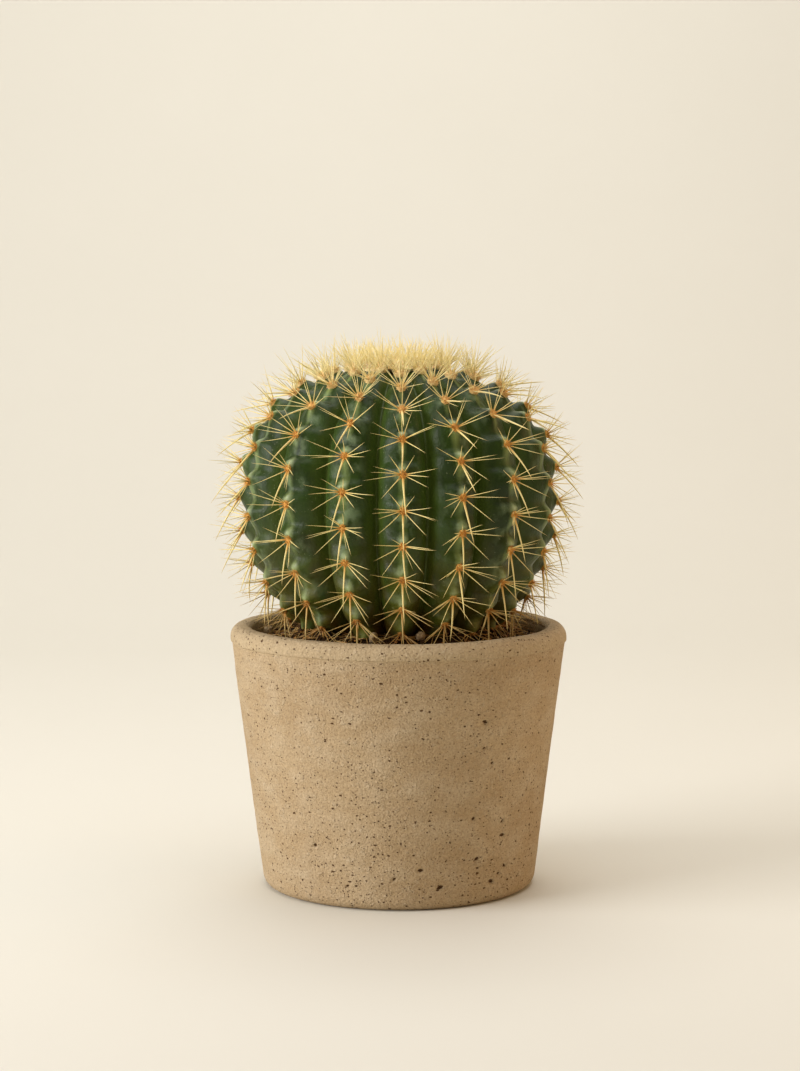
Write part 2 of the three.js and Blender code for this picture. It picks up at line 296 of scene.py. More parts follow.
@dataclass
class Piece:
    """Points, triangles and painted values gathered for one piece."""

    name: str
    points: list[np.ndarray] = field(default_factory=list)
    faces: list[np.ndarray] = field(default_factory=list)
    finishes: list[np.ndarray] = field(default_factory=list)
    values: list[dict[str, np.ndarray]] = field(default_factory=list)
    count: int = 0

    def add(self, points: np.ndarray, faces: np.ndarray, finish: int = 0, **values: np.ndarray) -> None:
        """Adds a closed part.

        Args:
            points: positions in millimetres.
            faces: three point numbers per triangle.
            finish: which of the piece's materials it has.
            values: painted values by name, one number per point.
        """
        self.points.append(points)
        self.faces.append(faces + self.count)
        self.finishes.append(np.full(len(faces), finish))
        self.values.append({name: np.broadcast_to(value, len(points)) for name, value in values.items()})
        self.count += len(points)

    def build(self, materials: list[bpy.types.Material]) -> bpy.types.Object:
        """Makes the Blender object in metres, with its materials and painted values.

        Args:
            materials: the finishes that add() counts.

        Returns:
            The linked object.
        """
        mesh = bpy.data.meshes.new(self.name)
        points, faces = np.concatenate(self.points) * MM, np.concatenate(self.faces)
        mesh.vertices.add(len(points))
        mesh.vertices.foreach_set("co", points.astype(np.float32).ravel())
        mesh.loops.add(faces.size)
        mesh.loops.foreach_set("vertex_index", faces.astype(np.int32).ravel())
        mesh.polygons.add(len(faces))
        mesh.polygons.foreach_set("loop_start", np.arange(len(faces), dtype=np.int32) * 3)
        mesh.polygons.foreach_set("material_index", np.concatenate(self.finishes).astype(np.int32))
        mesh.polygons.foreach_set("use_smooth", np.ones(len(faces), dtype=bool))
        for name in sorted({name for part in self.values for name in part}):
            parts = [part.get(name, np.zeros(len(at))) for part, at in zip(self.values, self.points)]
            layer = mesh.attributes.new(name, "FLOAT", "POINT")
            layer.data.foreach_set("value", np.concatenate(parts).astype(np.float32))
        for material in materials:
            mesh.materials.append(material)
        mesh.update(calc_edges=True)
        mesh.validate()
        made = bpy.data.objects.new(self.name, mesh)
        bpy.context.scene.collection.objects.link(made)
        return made


def tubes(paths: np.ndarray, radii: np.ndarray, sides: int) -> tuple[np.ndarray, np.ndarray]:
    """Closed round tubes along many paths at once. Each ends in a point.

    Args:
        paths: points of each path, as paths by stations by three.
        radii: radius at each station.
        sides: sides of each tube.

    Returns:
        Points and triangles of all the tubes.
    """
    count, stations = paths.shape[:2]
    steep = 0.8
    tangent = unit(np.gradient(paths, axis=1))
    upright = np.abs(tangent[:, :1, 2:]) > steep
    reference = np.where(upright, [1.0, 0, 0], [0, 0, 1.0])
    side = unit(np.cross(tangent, reference))
    other = np.cross(tangent, side)
    angle = np.arange(sides) * FULL_TURN / sides
    spokes = side[:, :-1, None] * np.cos(angle)[:, None] + other[:, :-1, None] * np.sin(angle)[:, None]
    rings = paths[:, :-1, None] + radii[:, :-1, None, None] * spokes
    points = np.concatenate([rings.reshape(count, -1, 3), paths[:, -1:]], axis=1)
    last = (stations - 2) * sides
    corners = np.arange(sides)
    tip = np.stack([last + corners, last + (corners + 1) % sides, np.full(sides, last + sides)], -1)
    cap = np.stack([np.zeros(sides - 2, int), corners[2:], corners[1:-1]], -1)
    template = np.concatenate([grid_faces(stations - 1, sides), tip, cap])
    shift = np.arange(count)[:, None, None] * points.shape[1]
    return points.reshape(-1, 3), (template + shift).reshape(-1, 3)


def per_point(stations: np.ndarray, sides: int) -> np.ndarray:
    """Spreads one value per station of a tube over the tube's points. Its tip gets 1."""
    return np.append(np.repeat(stations[:-1], sides), 1)


def lump(subdivisions: int) -> tuple[np.ndarray, np.ndarray]:
    """A unit ball of even triangles, which pieces then roughen.

    Args:
        subdivisions: how often the twenty starting triangles are split.

    Returns:
        Its points and triangles.
    """
    ball = bmesh.new()
    bmesh.ops.create_icosphere(ball, subdivisions=subdivisions, radius=1)
    points = np.array([vertex.co for vertex in ball.verts])
    faces = np.array([[vertex.index for vertex in face.verts] for face in ball.faces])
    ball.free()
    return points, faces


def lathe(piece: Piece, profile: np.ndarray, columns: int,
          shape: Callable[[np.ndarray, np.ndarray], np.ndarray], **values: np.ndarray) -> None:
    """Adds a closed ring of revolution to a piece.

    Args:
        piece: the piece it is added to.
        profile: radius and height of each row, anticlockwise seen with the axis on the left.
        columns: points in each row.
        shape: moves the points, given them and their outward directions.
        values: painted values by name, one number per row.
    """
    rows = len(profile)
    bearing = np.arange(columns) * FULL_TURN / columns
    before, after = np.roll(profile, 1, axis=0), np.roll(profile, -1, axis=0)
    tangent = unit(after - before)
    points = around(profile[:, :1], bearing[None], profile[:, 1:]).reshape(-1, 3)
    outward = around(tangent[:, 1:], bearing[None], -tangent[:, :1]).reshape(-1, 3)
    wrapped = grid_faces(rows + 1, columns) % (rows * columns)
    painted = {name: np.repeat(value, columns) for name, value in values.items()}
    piece.add(shape(points, outward), wrapped, **painted)


def ride(made: bpy.types.Object, slot: Slot, *nodes: str) -> None:
    """Puts a piece on its body, in place of its nodes, and reports it.

    Args:
        made: the piece's object.
        slot: the record's slot of its finish. It is not used.
        nodes: the CAD nodes that it stands for, if any.
    """
    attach(made, BODY)
    if nodes:
        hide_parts(*nodes)
    LOG.info("%s: %d triangles, in place of %s", made.name, len(made.data.polygons), nodes or "nothing")


# ---- Finishes ----


def linear(code: str) -> tuple[float, float, float, float]:
    """Turns an sRGB hex colour into linear red, green, blue and alpha."""
    parts = [int(code[i : i + 2], 16) / 255 for i in (1, 3, 5)]
    return (*[p / 12.92 if p <= 0.04045 else ((p + 0.055) / 1.055) ** 2.4 for p in parts], 1.0)


def add_node(tree: bpy.types.NodeTree, kind: str, inputs: dict | None = None,
             stops: list[tuple[float, str]] | None = None, **settings: object) -> bpy.types.Node:
    """Adds a node with its settings and links.

    Args:
        tree: node tree of a material.
        kind: the node's type, without the word ShaderNode.
        inputs: a value, a hex colour or another node's output for each input, by name or number.
        stops: places and hex colours of a colour ramp.
        settings: the node's own settings.

    Returns:
        The new node.
    """
    node = tree.nodes.new("ShaderNode" + kind)
    for name, value in settings.items():
        setattr(node, name, value)
    for name, value in (inputs or {}).items():
        socket = node.inputs[name]
        if isinstance(value, bpy.types.NodeSocket):
            tree.links.new(value, socket)
        else:
            socket.default_value = linear(value) if isinstance(value, str) else value
    if stops:
        ramp = node.color_ramp
        while len(ramp.elements) < len(stops):
            ramp.elements.new(0.5)
        for element, (place, code) in zip(ramp.elements, stops):
            element.position, element.color = place, linear(code)
    return node


class Blend(Enum):
    """How one colour is laid over another."""

    OVER = "MIX"
    TIMES = "MULTIPLY"


@dataclass(frozen=True)
class Pattern:
    """Soft noise that a finish lays over itself.

    Its size is that of its features in millimetres. The detail counts finer octaves, the stretch is how much
    wider than tall the features are, and low and high are the noise values that give a share of 0 and of 1.
    """

    size: float
    detail: float = 3
    stretch: float = 1
    low: float = 0.35
    high: float = 0.65


@dataclass(frozen=True)
class Finish:
    """What every finish shares: a name, a shader, and ways to lay patterns and colours over each other."""

    name: str = "Plain"
    roughness: float = 0.6
    ior: float = 1.5
    specular: float = 0.5

    def start(self, levels: dict[str, object] | None = None) -> tuple[bpy.types.NodeTree, bpy.types.Node]:
        """Makes the material's empty tree and its shader.

        Args:
            levels: further levels that are the same all over, by the shader's own names.

        Returns:
            The tree and the Principled shader's node.
        """
        material = bpy.data.materials.new(self.name)
        material.use_nodes = True
        tree = material.node_tree
        tree.nodes.clear()
        inputs = {"Roughness": self.roughness, "IOR": self.ior, "Specular IOR Level": self.specular}
        shader = add_node(tree, "BsdfPrincipled", inputs | (levels or {}))
        add_node(tree, "OutputMaterial", {"Surface": shader.outputs["BSDF"]})
        return tree, shader

    def pattern(self, tree: bpy.types.NodeTree, look: Pattern) -> bpy.types.NodeSocket:
        """Soft noise as a share from 0 to 1.

        Args:
            tree: the material's tree.
            look: its size and limits.

        Returns:
            The output that carries it.
        """
        place = add_node(tree, "TexCoord").outputs["Object"]
        squeezed = add_node(tree, "Mapping", {"Vector": place, "Scale": (1, 1, look.stretch)}).outputs[0]
        scale = 1 / (look.size * MM)
        cloud = add_node(tree, "TexNoise", {"Vector": squeezed, "Scale": scale, "Detail": look.detail})
        limits = {"Value": cloud.outputs[0], "From Min": look.low, "From Max": look.high}
        return add_node(tree, "MapRange", limits, clamp=True).outputs[0]

    def share(self, tree: bpy.types.NodeTree, *parts: object) -> bpy.types.NodeSocket:
        """Multiplies shares.

        Args:
            tree: the material's tree.
            parts: patterns, names of painted values, other nodes' outputs and plain numbers.

        Returns:
            The output that carries their product.
        """
        product = None
        for part in parts:
            if isinstance(part, Pattern):
                part = self.pattern(tree, part)
            elif isinstance(part, str):
                part = add_node(tree, "Attribute", attribute_name=part).outputs["Fac"]
            if product:
                part = add_node(tree, "Math", {0: product, 1: part}, operation="MULTIPLY").outputs[0]
            product = part
        return product

    def coat(self, tree: bpy.types.NodeTree, under: object, over: str, *where: object,
             blend: Blend = Blend.OVER) -> bpy.types.NodeSocket:
        """Lays a coat of one colour over another.

        Args:
            tree: the material's tree.
            under: the colour below, as a hex colour or another coat.
            over: the coat's hex colour.
            where: what share() multiplies to the coat's strength.
            blend: how the coat mixes with what is below it.

        Returns:
            The output that carries the new colour.
        """
        inputs = {"Fac": self.share(tree, *where), "Color1": under, "Color2": over}
        return add_node(tree, "MixRGB", inputs, blend_type=blend.value).outputs[0]

    def relief(self, tree: bpy.types.NodeTree, shader: bpy.types.Node,
               layers: list[tuple[bpy.types.NodeSocket, float]]) -> None:
        """Adds bumps to a shader.

        Args:
            tree: the material's tree.
            shader: its shader.
            layers: each layer's height as a share, and its full height in millimetres.
        """
        normal = None
        for height, depth in layers:
            inputs = {"Height": height, "Distance": depth * MM, "Strength": 1.0}
            if normal:
                inputs["Normal"] = normal
            normal = add_node(tree, "Bump", inputs).outputs[0]
        tree.links.new(normal, shader.inputs["Normal"])

    def close(self, tree: bpy.types.NodeTree, shader: bpy.types.Node,
              colour: bpy.types.NodeSocket) -> bpy.types.Material:
        """Joins the colour to the shader and returns the material."""
        tree.links.new(colour, shader.inputs["Base Color"])
        return bpy.data.materials[self.name]


@dataclass(frozen=True)
class AirHoles:
    """One kind of air hole: spacing and widest radius in millimetres, crowding, and how wide for its height."""

    spacing: float
    widest: float
    crowd: float
    stretch: float


@dataclass(frozen=True)
class CastConcrete(Finish):
    """Sand and cement concrete, cast in a mould and left bare.

    It gives the eye a matt, sandy face with soft clouds where it dried unevenly, faint bands from filling
    the mould, and air holes that lie thickest near the foot, with painted shade: a dark brown laid in each
    hole in place of the shade inside it.
    """

    name: str = "Cast_sand_concrete"
    roughness: float = 0.88
    specular: float = 0.2
    sand: str = "#c3ac88"
    pale: str = "#d3c3a6"
    damp: str = "#ae946f"
    lip: str = "#c3b08d"
    dirt: str = "#6a5030"
    shade: str = "#8f8576"
    # Painted shade: the dark brown that stands for the shade inside the air holes.
    hole: str = "#4a2b0a"
    rough_span: Span = (0.93, 0.82)
    clouds: Pattern = Pattern(55, 3, 1.2, 0.3, 0.75)
    patches: Pattern = Pattern(13, 5, 1.5, 0.4, 0.75)
    bands: Pattern = Pattern(24, 3, 9, 0.4, 0.65)
    # Cement grain is under 0.2 mm and sand about 0.5 mm. Both are drawn coarser, or they would not show.
    grain: Pattern = Pattern(0.9, 2, 1, 0.3, 0.7)
    sand_grains: Pattern = Pattern(1.9, 1, 1, 0.62, 0.72)
    dust: Pattern = Pattern(0.7, 2, 1.3, 0.60, 0.68)
    # Most bubbles leave pinholes up to 0.8 mm wide, and a few leave holes of up to 1.5 mm.
    pinholes: AirHoles = AirHoles(1.5, 0.42, 0.235, 1.2)
    wide_holes: AirHoles = AirHoles(3.2, 0.74, 0.175, 1.5)
    ragged: float = 1.3
    groups_per_metre: float = 42
    thick_to: float = 0.035
    thin_from: float = 0.085
    foot_gain: float = -0.12
    top_loss: float = 0.06
    lip_gain: float = 0.14
    rarity: Span = (0.45, 1.25)
    brim: float = 0.72
    blown: Span = (0.50, 0.64)

    def holes(self, tree: bpy.types.NodeTree, kind: AirHoles) -> bpy.types.NodeSocket:
        """Air holes left by bubbles against the mould, thick in some places and thin in others.

        Args:
            tree: the material's tree.
            kind: their spacing, width and crowding.

        Returns:
            1 in a hole and 0 outside it.
        """
        place = add_node(tree, "TexCoord").outputs["Object"]
        wide = add_node(tree, "Mapping", {"Vector": place, "Scale": (1, 1, kind.stretch)}).outputs[0]
        tear = self.ragged * MM
        ragged = add_node(tree, "TexNoise", {"Vector": wide, "Scale": 1 / tear, "Detail": 2})
        torn = add_node(tree, "VectorMath", {0: ragged.outputs["Color"], 1: (tear,) * 3, 2: wide},
                        operation="MULTIPLY_ADD").outputs[0]
        cells = add_node(tree, "TexVoronoi", {"Vector": torn, "Scale": 1 / (kind.spacing * MM)})
        chance = add_node(tree, "SeparateColor", {0: cells.outputs["Color"]}).outputs[0]
        groups = add_node(tree, "TexNoise", {"Vector": cells.outputs["Position"],
                                             "Scale": self.groups_per_metre, "Detail": 2})
        height = add_node(tree, "SeparateXYZ", {0: cells.outputs["Position"]}).outputs[2]
        low = add_node(tree, "MapRange", {"Value": height, "From Min": self.thick_to,
                                          "From Max": self.thin_from, "To Min": self.foot_gain,
                                          "To Max": self.top_loss}).outputs[0]
        lip = self.share(tree, "lip", self.lip_gain)
        rare = add_node(tree, "Math", {0: chance, 1: groups.outputs[0]}, operation="ADD").outputs[0]
        rare = add_node(tree, "Math", {0: rare, 1: low}, operation="ADD").outputs[0]
        rare = add_node(tree, "Math", {0: rare, 1: lip}, operation="SUBTRACT").outputs[0]
        shrink = add_node(tree, "MapRange", {"Value": rare, "From Min": self.rarity[0],
                                             "From Max": self.rarity[1], "To Min": 0,
                                             "To Max": kind.crowd}).outputs[0]
        distance = cells.outputs["Distance"]
        reach = add_node(tree, "Math", {0: distance, 1: shrink}, operation="ADD").outputs[0]
        edge = kind.widest / kind.spacing
        return add_node(tree, "MapRange", {"Value": reach, "From Min": edge * self.brim, "From Max": edge,
                                           "To Min": 1, "To Max": 0}, clamp=True).outputs[0]

    def make(self) -> bpy.types.Material:
        """Builds the material.

        Returns:
            The material.
        """
        tree, shader = self.start()
        looks = (self.clouds, self.patches, self.bands, self.grain, self.sand_grains, self.dust)
        clouds, patches, bands, grain, sand, dust = (self.pattern(tree, look) for look in looks)
        colour = self.coat(tree, self.sand, self.damp, clouds, 0.75)
        colour = self.coat(tree, colour, self.pale, patches, 0.42)
        colour = self.coat(tree, colour, self.dirt, dust, 0.6)
        colour = self.coat(tree, colour, self.damp, bands, 0.2)
        colour = self.coat(tree, colour, self.lip, "lip", 0.5)
        colour = self.coat(tree, colour, self.shade, grain, 0.3, blend=Blend.TIMES)
        colour = self.coat(tree, colour, self.pale, sand, 0.2)
        small, wide = self.holes(tree, self.pinholes), self.holes(tree, self.wide_holes)
        hollow = self.share(tree, "hollow")
        blown = add_node(tree, "MapRange", {"Value": hollow, "From Min": self.blown[0],
                                            "From Max": self.blown[1]}, clamp=True).outputs[0]
        holes = add_node(tree, "Math", {0: small, 1: wide}, operation="MAXIMUM").outputs[0]
        holes = add_node(tree, "Math", {0: holes, 1: blown}, operation="MAXIMUM").outputs[0]
        # Painted shade: the air holes are laid dark brown for the shade inside them.
        colour = self.coat(tree, colour, self.hole, holes, 0.9)
        rough = add_node(tree, "MapRange", {"Value": patches, "To Min": self.rough_span[0],
                                            "To Max": self.rough_span[1]}).outputs[0]
        tree.links.new(rough, shader.inputs["Roughness"])
        face = add_node(tree, "Math", {0: 1.0, 1: holes}, operation="SUBTRACT").outputs[0]
        self.relief(tree, shader, [(patches, 0.5), (sand, 0.2), (grain, 0.2), (face, 0.45)])
        return self.close(tree, shader, colour)


@dataclass(frozen=True)
class PottingPeat(Finish):
    """Peat and leaf mould, crumbled by hand: nearly black brown to the eye, with pale bits and no shine."""

    name: str = "Crumbled_peat"
    roughness: float = 0.97
    ior: float = 1.4
    specular: float = 0.2
    dark: str = "#26180b"
    dry: str = "#654626"
    fibre: str = "#6b4f31"
    shade: str = "#8a7a66"
    crumbs: Pattern = Pattern(2.2, 4, 1, 0.4, 0.7)
    grain: Pattern = Pattern(0.7, 2, 1, 0.35, 0.7)

    def make(self) -> bpy.types.Material:
        """Builds the material.

        Returns:
            The material.
        """
        tree, shader = self.start()
        crumbs, grain = self.pattern(tree, self.crumbs), self.pattern(tree, self.grain)
        colour = self.coat(tree, self.dark, self.dry, crumbs)
        colour = self.coat(tree, colour, self.fibre, "shade", 0.8)
        colour = self.coat(tree, colour, self.shade, grain, 0.5, blend=Blend.TIMES)
        self.relief(tree, shader, [(crumbs, 0.7), (grain, 0.25)])
        return self.close(tree, shader, colour)


@dataclass(frozen=True)
class WaxySkin(Finish):
    """Cactus skin, grown with a thin coat of wax.

    It gives the eye deep green flanks with a soft gloss and a blue-grey waxy coat that is partly painted
    highlight, pale crests that are partly their own tone and partly painted highlight, painted highlights
    on the shoulders above the areoles, and old skin that yellows and turns corky towards the soil.
    """

    name: str = "Waxy_cactus_skin"
    roughness: float = 0.5
    ior: float = 1.45
    specular: float = 0.32
    subsurface: float = 0.04
    flank: str = "#2b430b"
    deep: str = "#1d3105"
    valley: str = "#4b5e22"
    # Pale crest colour: partly the crest's own paler tone and partly painted highlight.
    crest: str = "#9fb26c"
    # Blue-grey wax near the crests, partly the skin's own waxy coat and partly painted highlight.
    bloom_and_highlight: str = "#8ea27c"
    # Painted highlight: the pale patch on the shoulders above the areoles, where each bump faces the light.
    shoulder: str = "#bccaa4"
    cork: str = "#54390f"
    ripe: str = "#77792c"
    shade: str = "#c9d3ac"
    speck: str = "#b9bd95"
    bloom_and_highlight_most: float = 0.55
    rough_span: Span = (0.42, 0.6)
    # Skin cells and wax specks are under 0.1 mm. They are drawn at 0.8 and 0.9 mm, the finest that show.
    cells: Pattern = Pattern(0.8, 2, 1, 0.35, 0.65)
    specks: Pattern = Pattern(0.9, 0, 1, 0.74, 0.80)
    speck_groups: Pattern = Pattern(15, 2, 1, 0.5, 0.6)
    mottle: Pattern = Pattern(9, 4, 0.6, 0.38, 0.66)
    wax: Pattern = Pattern(6, 6, 0.8, 0.52, 0.68)
    # Breaks up the painted highlight on the shoulders.
    worn: Pattern = Pattern(2.6, 4, 0.7, 0.34, 0.6)
    ripening: Pattern = Pattern(5, 4, 0.7, 0.28, 0.56)
    stains: Pattern = Pattern(7, 4, 0.6, 0.3, 0.55)

    def make(self) -> bpy.types.Material:
        """Builds the material.

        Returns:
            The material.
        """
        tree, shader = self.start({
            "Subsurface Weight": self.subsurface,
            "Subsurface Radius": (0.6, 1.0, 0.25),
            "Subsurface Scale": 0.002,
        })
        cells, mottle, wax = (self.pattern(tree, look) for look in (self.cells, self.mottle, self.wax))
        specks = self.share(tree, self.specks, self.speck_groups)
        crest = self.share(tree, "crest")
        colour = self.coat(tree, self.flank, self.deep, mottle)
        colour = self.coat(tree, colour, self.valley, "valley")
        fray = self.share(tree, mottle, -0.35)
        frayed = add_node(tree, "Math", {0: crest, 1: fray}, operation="ADD").outputs[0]
        # Pale crests, partly their own tone and partly painted highlight.
        colour = self.coat(tree, colour, self.crest, frayed, 0.85)
        # Blue-grey wax near the crests: partly the waxy coat, partly painted highlight. It also roughens the
        # skin.
        bloom_and_highlight_share = self.share(tree, wax, self.bloom_and_highlight_most, "open")
        colour = self.coat(tree, colour, self.bloom_and_highlight, bloom_and_highlight_share)
        # Painted highlight on the shoulders above the areoles, broken up by a pattern.
        colour = self.coat(tree, colour, self.shoulder, self.worn, 0.9, "shoulder")
        colour = self.coat(tree, colour, self.ripe, "ripe", self.ripening)
        colour = self.coat(tree, colour, self.cork, "cork", self.stains)
        colour = self.coat(tree, colour, self.shade, cells, 0.22, blend=Blend.TIMES)
        colour = self.coat(tree, colour, self.speck, specks, 0.16)
        rough = add_node(tree, "MapRange", {"Value": bloom_and_highlight_share, "From Max": self.bloom_and_highlight_most,
                                            "To Min": self.rough_span[0],
                                            "To Max": self.rough_span[1]}).outputs[0]
        tree.links.new(rough, shader.inputs["Roughness"])
        self.relief(tree, shader, [(mottle, 0.25), (cells, 0.05)])
        return self.close(tree, shader, colour)


@dataclass(frozen=True)
class HornSpine(Finish):
    """A spine grown from woody fibre, like horn.

    It gives the eye a straw colour with an orange-brown root and a duller tip, a faint gloss, and edges
    that let a little light through.
    """

    name: str = "Straw_horn_spine"
    roughness: float = 0.42
    specular: float = 0.35
    subsurface: float = 0.1
    root: str = "#d4923a"
    amber: str = "#e8b860"
    straw: str = "#f7e59c"
    tip: str = "#d9bb78"
    young: str = "#fdf0b6"
    old: str = "#ad7433"
    shade: str = "#d8cc9c"
    # Fibre streaks are finer than 0.1 mm. They are drawn as tones 1.6 mm long, which show.
    streaks: Pattern = Pattern(1.6, 2, 1, 0.35, 0.7)

    def make(self) -> bpy.types.Material:
        """Builds the material.

        Returns:
            The material.
        """
        tree, shader = self.start({
            "Subsurface Weight": self.subsurface,
            "Subsurface Radius": (1.0, 0.9, 0.6),
            "Subsurface Scale": 0.0006,
        })
        length = add_node(tree, "ValToRGB", {0: self.share(tree, "along")}, stops=[
            (0.0, self.root), (0.09, self.amber), (0.3, self.straw), (0.72, self.straw), (1.0, self.tip),
        ]).outputs[0]
        colour = self.coat(tree, length, self.young, "youth", 0.8)
        colour = self.coat(tree, colour, self.old, "shade")
        streaks = self.pattern(tree, self.streaks)
        colour = self.coat(tree, colour, self.shade, streaks, 0.25, blend=Blend.TIMES)
        self.relief(tree, shader, [(streaks, 0.03)])
        return self.close(tree, shader, colour)


@dataclass(frozen=True)
class AreoleFelt(Finish):
    """Short plant hair, matted: orange-tan and worn on old areoles, cream and fresh on young ones."""

    name: str = "Matted_areole_felt"
    roughness: float = 0.95
    ior: float = 1.4
    sheen: float = 0.1
    worn: str = "#e0a046"
    tan: str = "#f2bf66"
    fresh: str = "#f9dc9c"
    aged: str = "#9a6020"
    # A hair is about 0.03 mm thick. The tufts that hairs mat into are what shows.
    tufts: Pattern = Pattern(0.9, 3, 1, 0.35, 0.68)

    def make(self) -> bpy.types.Material:
        """Builds the material.

        Returns:
            The material.
        """
        tree, shader = self.start({"Sheen Weight": self.sheen, "Sheen Roughness": 0.6})
        tufts = self.pattern(tree, self.tufts)
        colour = self.coat(tree, self.worn, self.tan, tufts)
        colour = self.coat(tree, colour, self.fresh, "youth")
        colour = self.coat(tree, colour, self.aged, "shade")
        self.relief(tree, shader, [(tufts, 0.2)])
        return self.close(tree, shader, colour)


@dataclass(frozen=True)
class CrownWool(Finish):
    """New plant wool, grown loose at the growing point: cream and matt, and slightly see-through."""

    name: str = "Loose_crown_wool"
    roughness: float = 0.9
    ior: float = 1.4
    sheen: float = 0.4
    subsurface: float = 0.2
    wool: str = "#f0da9a"
    pale: str = "#f4e2ac"
    curls: Pattern = Pattern(2.5, 3, 1, 0.35, 0.7)

    def make(self) -> bpy.types.Material:
        """Builds the material.

        Returns:
            The material.
        """
        tree, shader = self.start({
            "Sheen Weight": self.sheen,
            "Sheen Roughness": 0.5,
            "Subsurface Weight": self.subsurface,
            "Subsurface Scale": 0.001,
        })
        curls = self.pattern(tree, self.curls)
        colour = self.coat(tree, self.wool, self.pale, curls)
        self.relief(tree, shader, [(curls, 0.15)])
        return self.close(tree, shader, colour)


@dataclass(frozen=True)
class WornGrit(Finish):
    """Small stones, worn by water: light brown to the eye, with darker flecks and a dusty face."""

    name: str = "Water_worn_grit"
    roughness: float = 0.82
    stone: str = "#a88d66"
    chalk: str = "#cdb992"
    fleck: str = "#5e4a35"
    clouds: Pattern = Pattern(2.4, 3)
    flecks: Pattern = Pattern(0.6, 1, 1, 0.6, 0.72)

    def make(self) -> bpy.types.Material:
        """Builds the material.

        Returns:
            The material.
        """
        tree, shader = self.start()
        clouds, flecks = self.pattern(tree, self.clouds), self.pattern(tree, self.flecks)
        colour = self.coat(tree, self.stone, self.chalk, clouds, 0.5)
        colour = self.coat(tree, colour, self.fleck, flecks, 0.7)
        self.relief(tree, shader, [(clouds, 0.25), (flecks, 0.06)])
        return self.close(tree, shader, colour)


@dataclass(frozen=True)
class PaperSweep(Finish):
    """Studio paper, milled matt: warm cream and nearly even to the eye."""

    name: str = "Matt_cream_paper"
    roughness: float = 0.95
    ior: float = 1.4
    specular: float = 0.1
    cream: str = "#e3e2d7"
    dull: str = "#dfded2"
    clouds: Pattern = Pattern(180, 2)

    def make(self) -> bpy.types.Material:
        """Builds the material.

        Returns:
            The material.
        """
        tree, shader = self.start()
        clouds = self.pattern(tree, self.clouds)
        return self.close(tree, shader, self.coat(tree, self.cream, self.dull, clouds, 0.15))


# ---- Pot ----


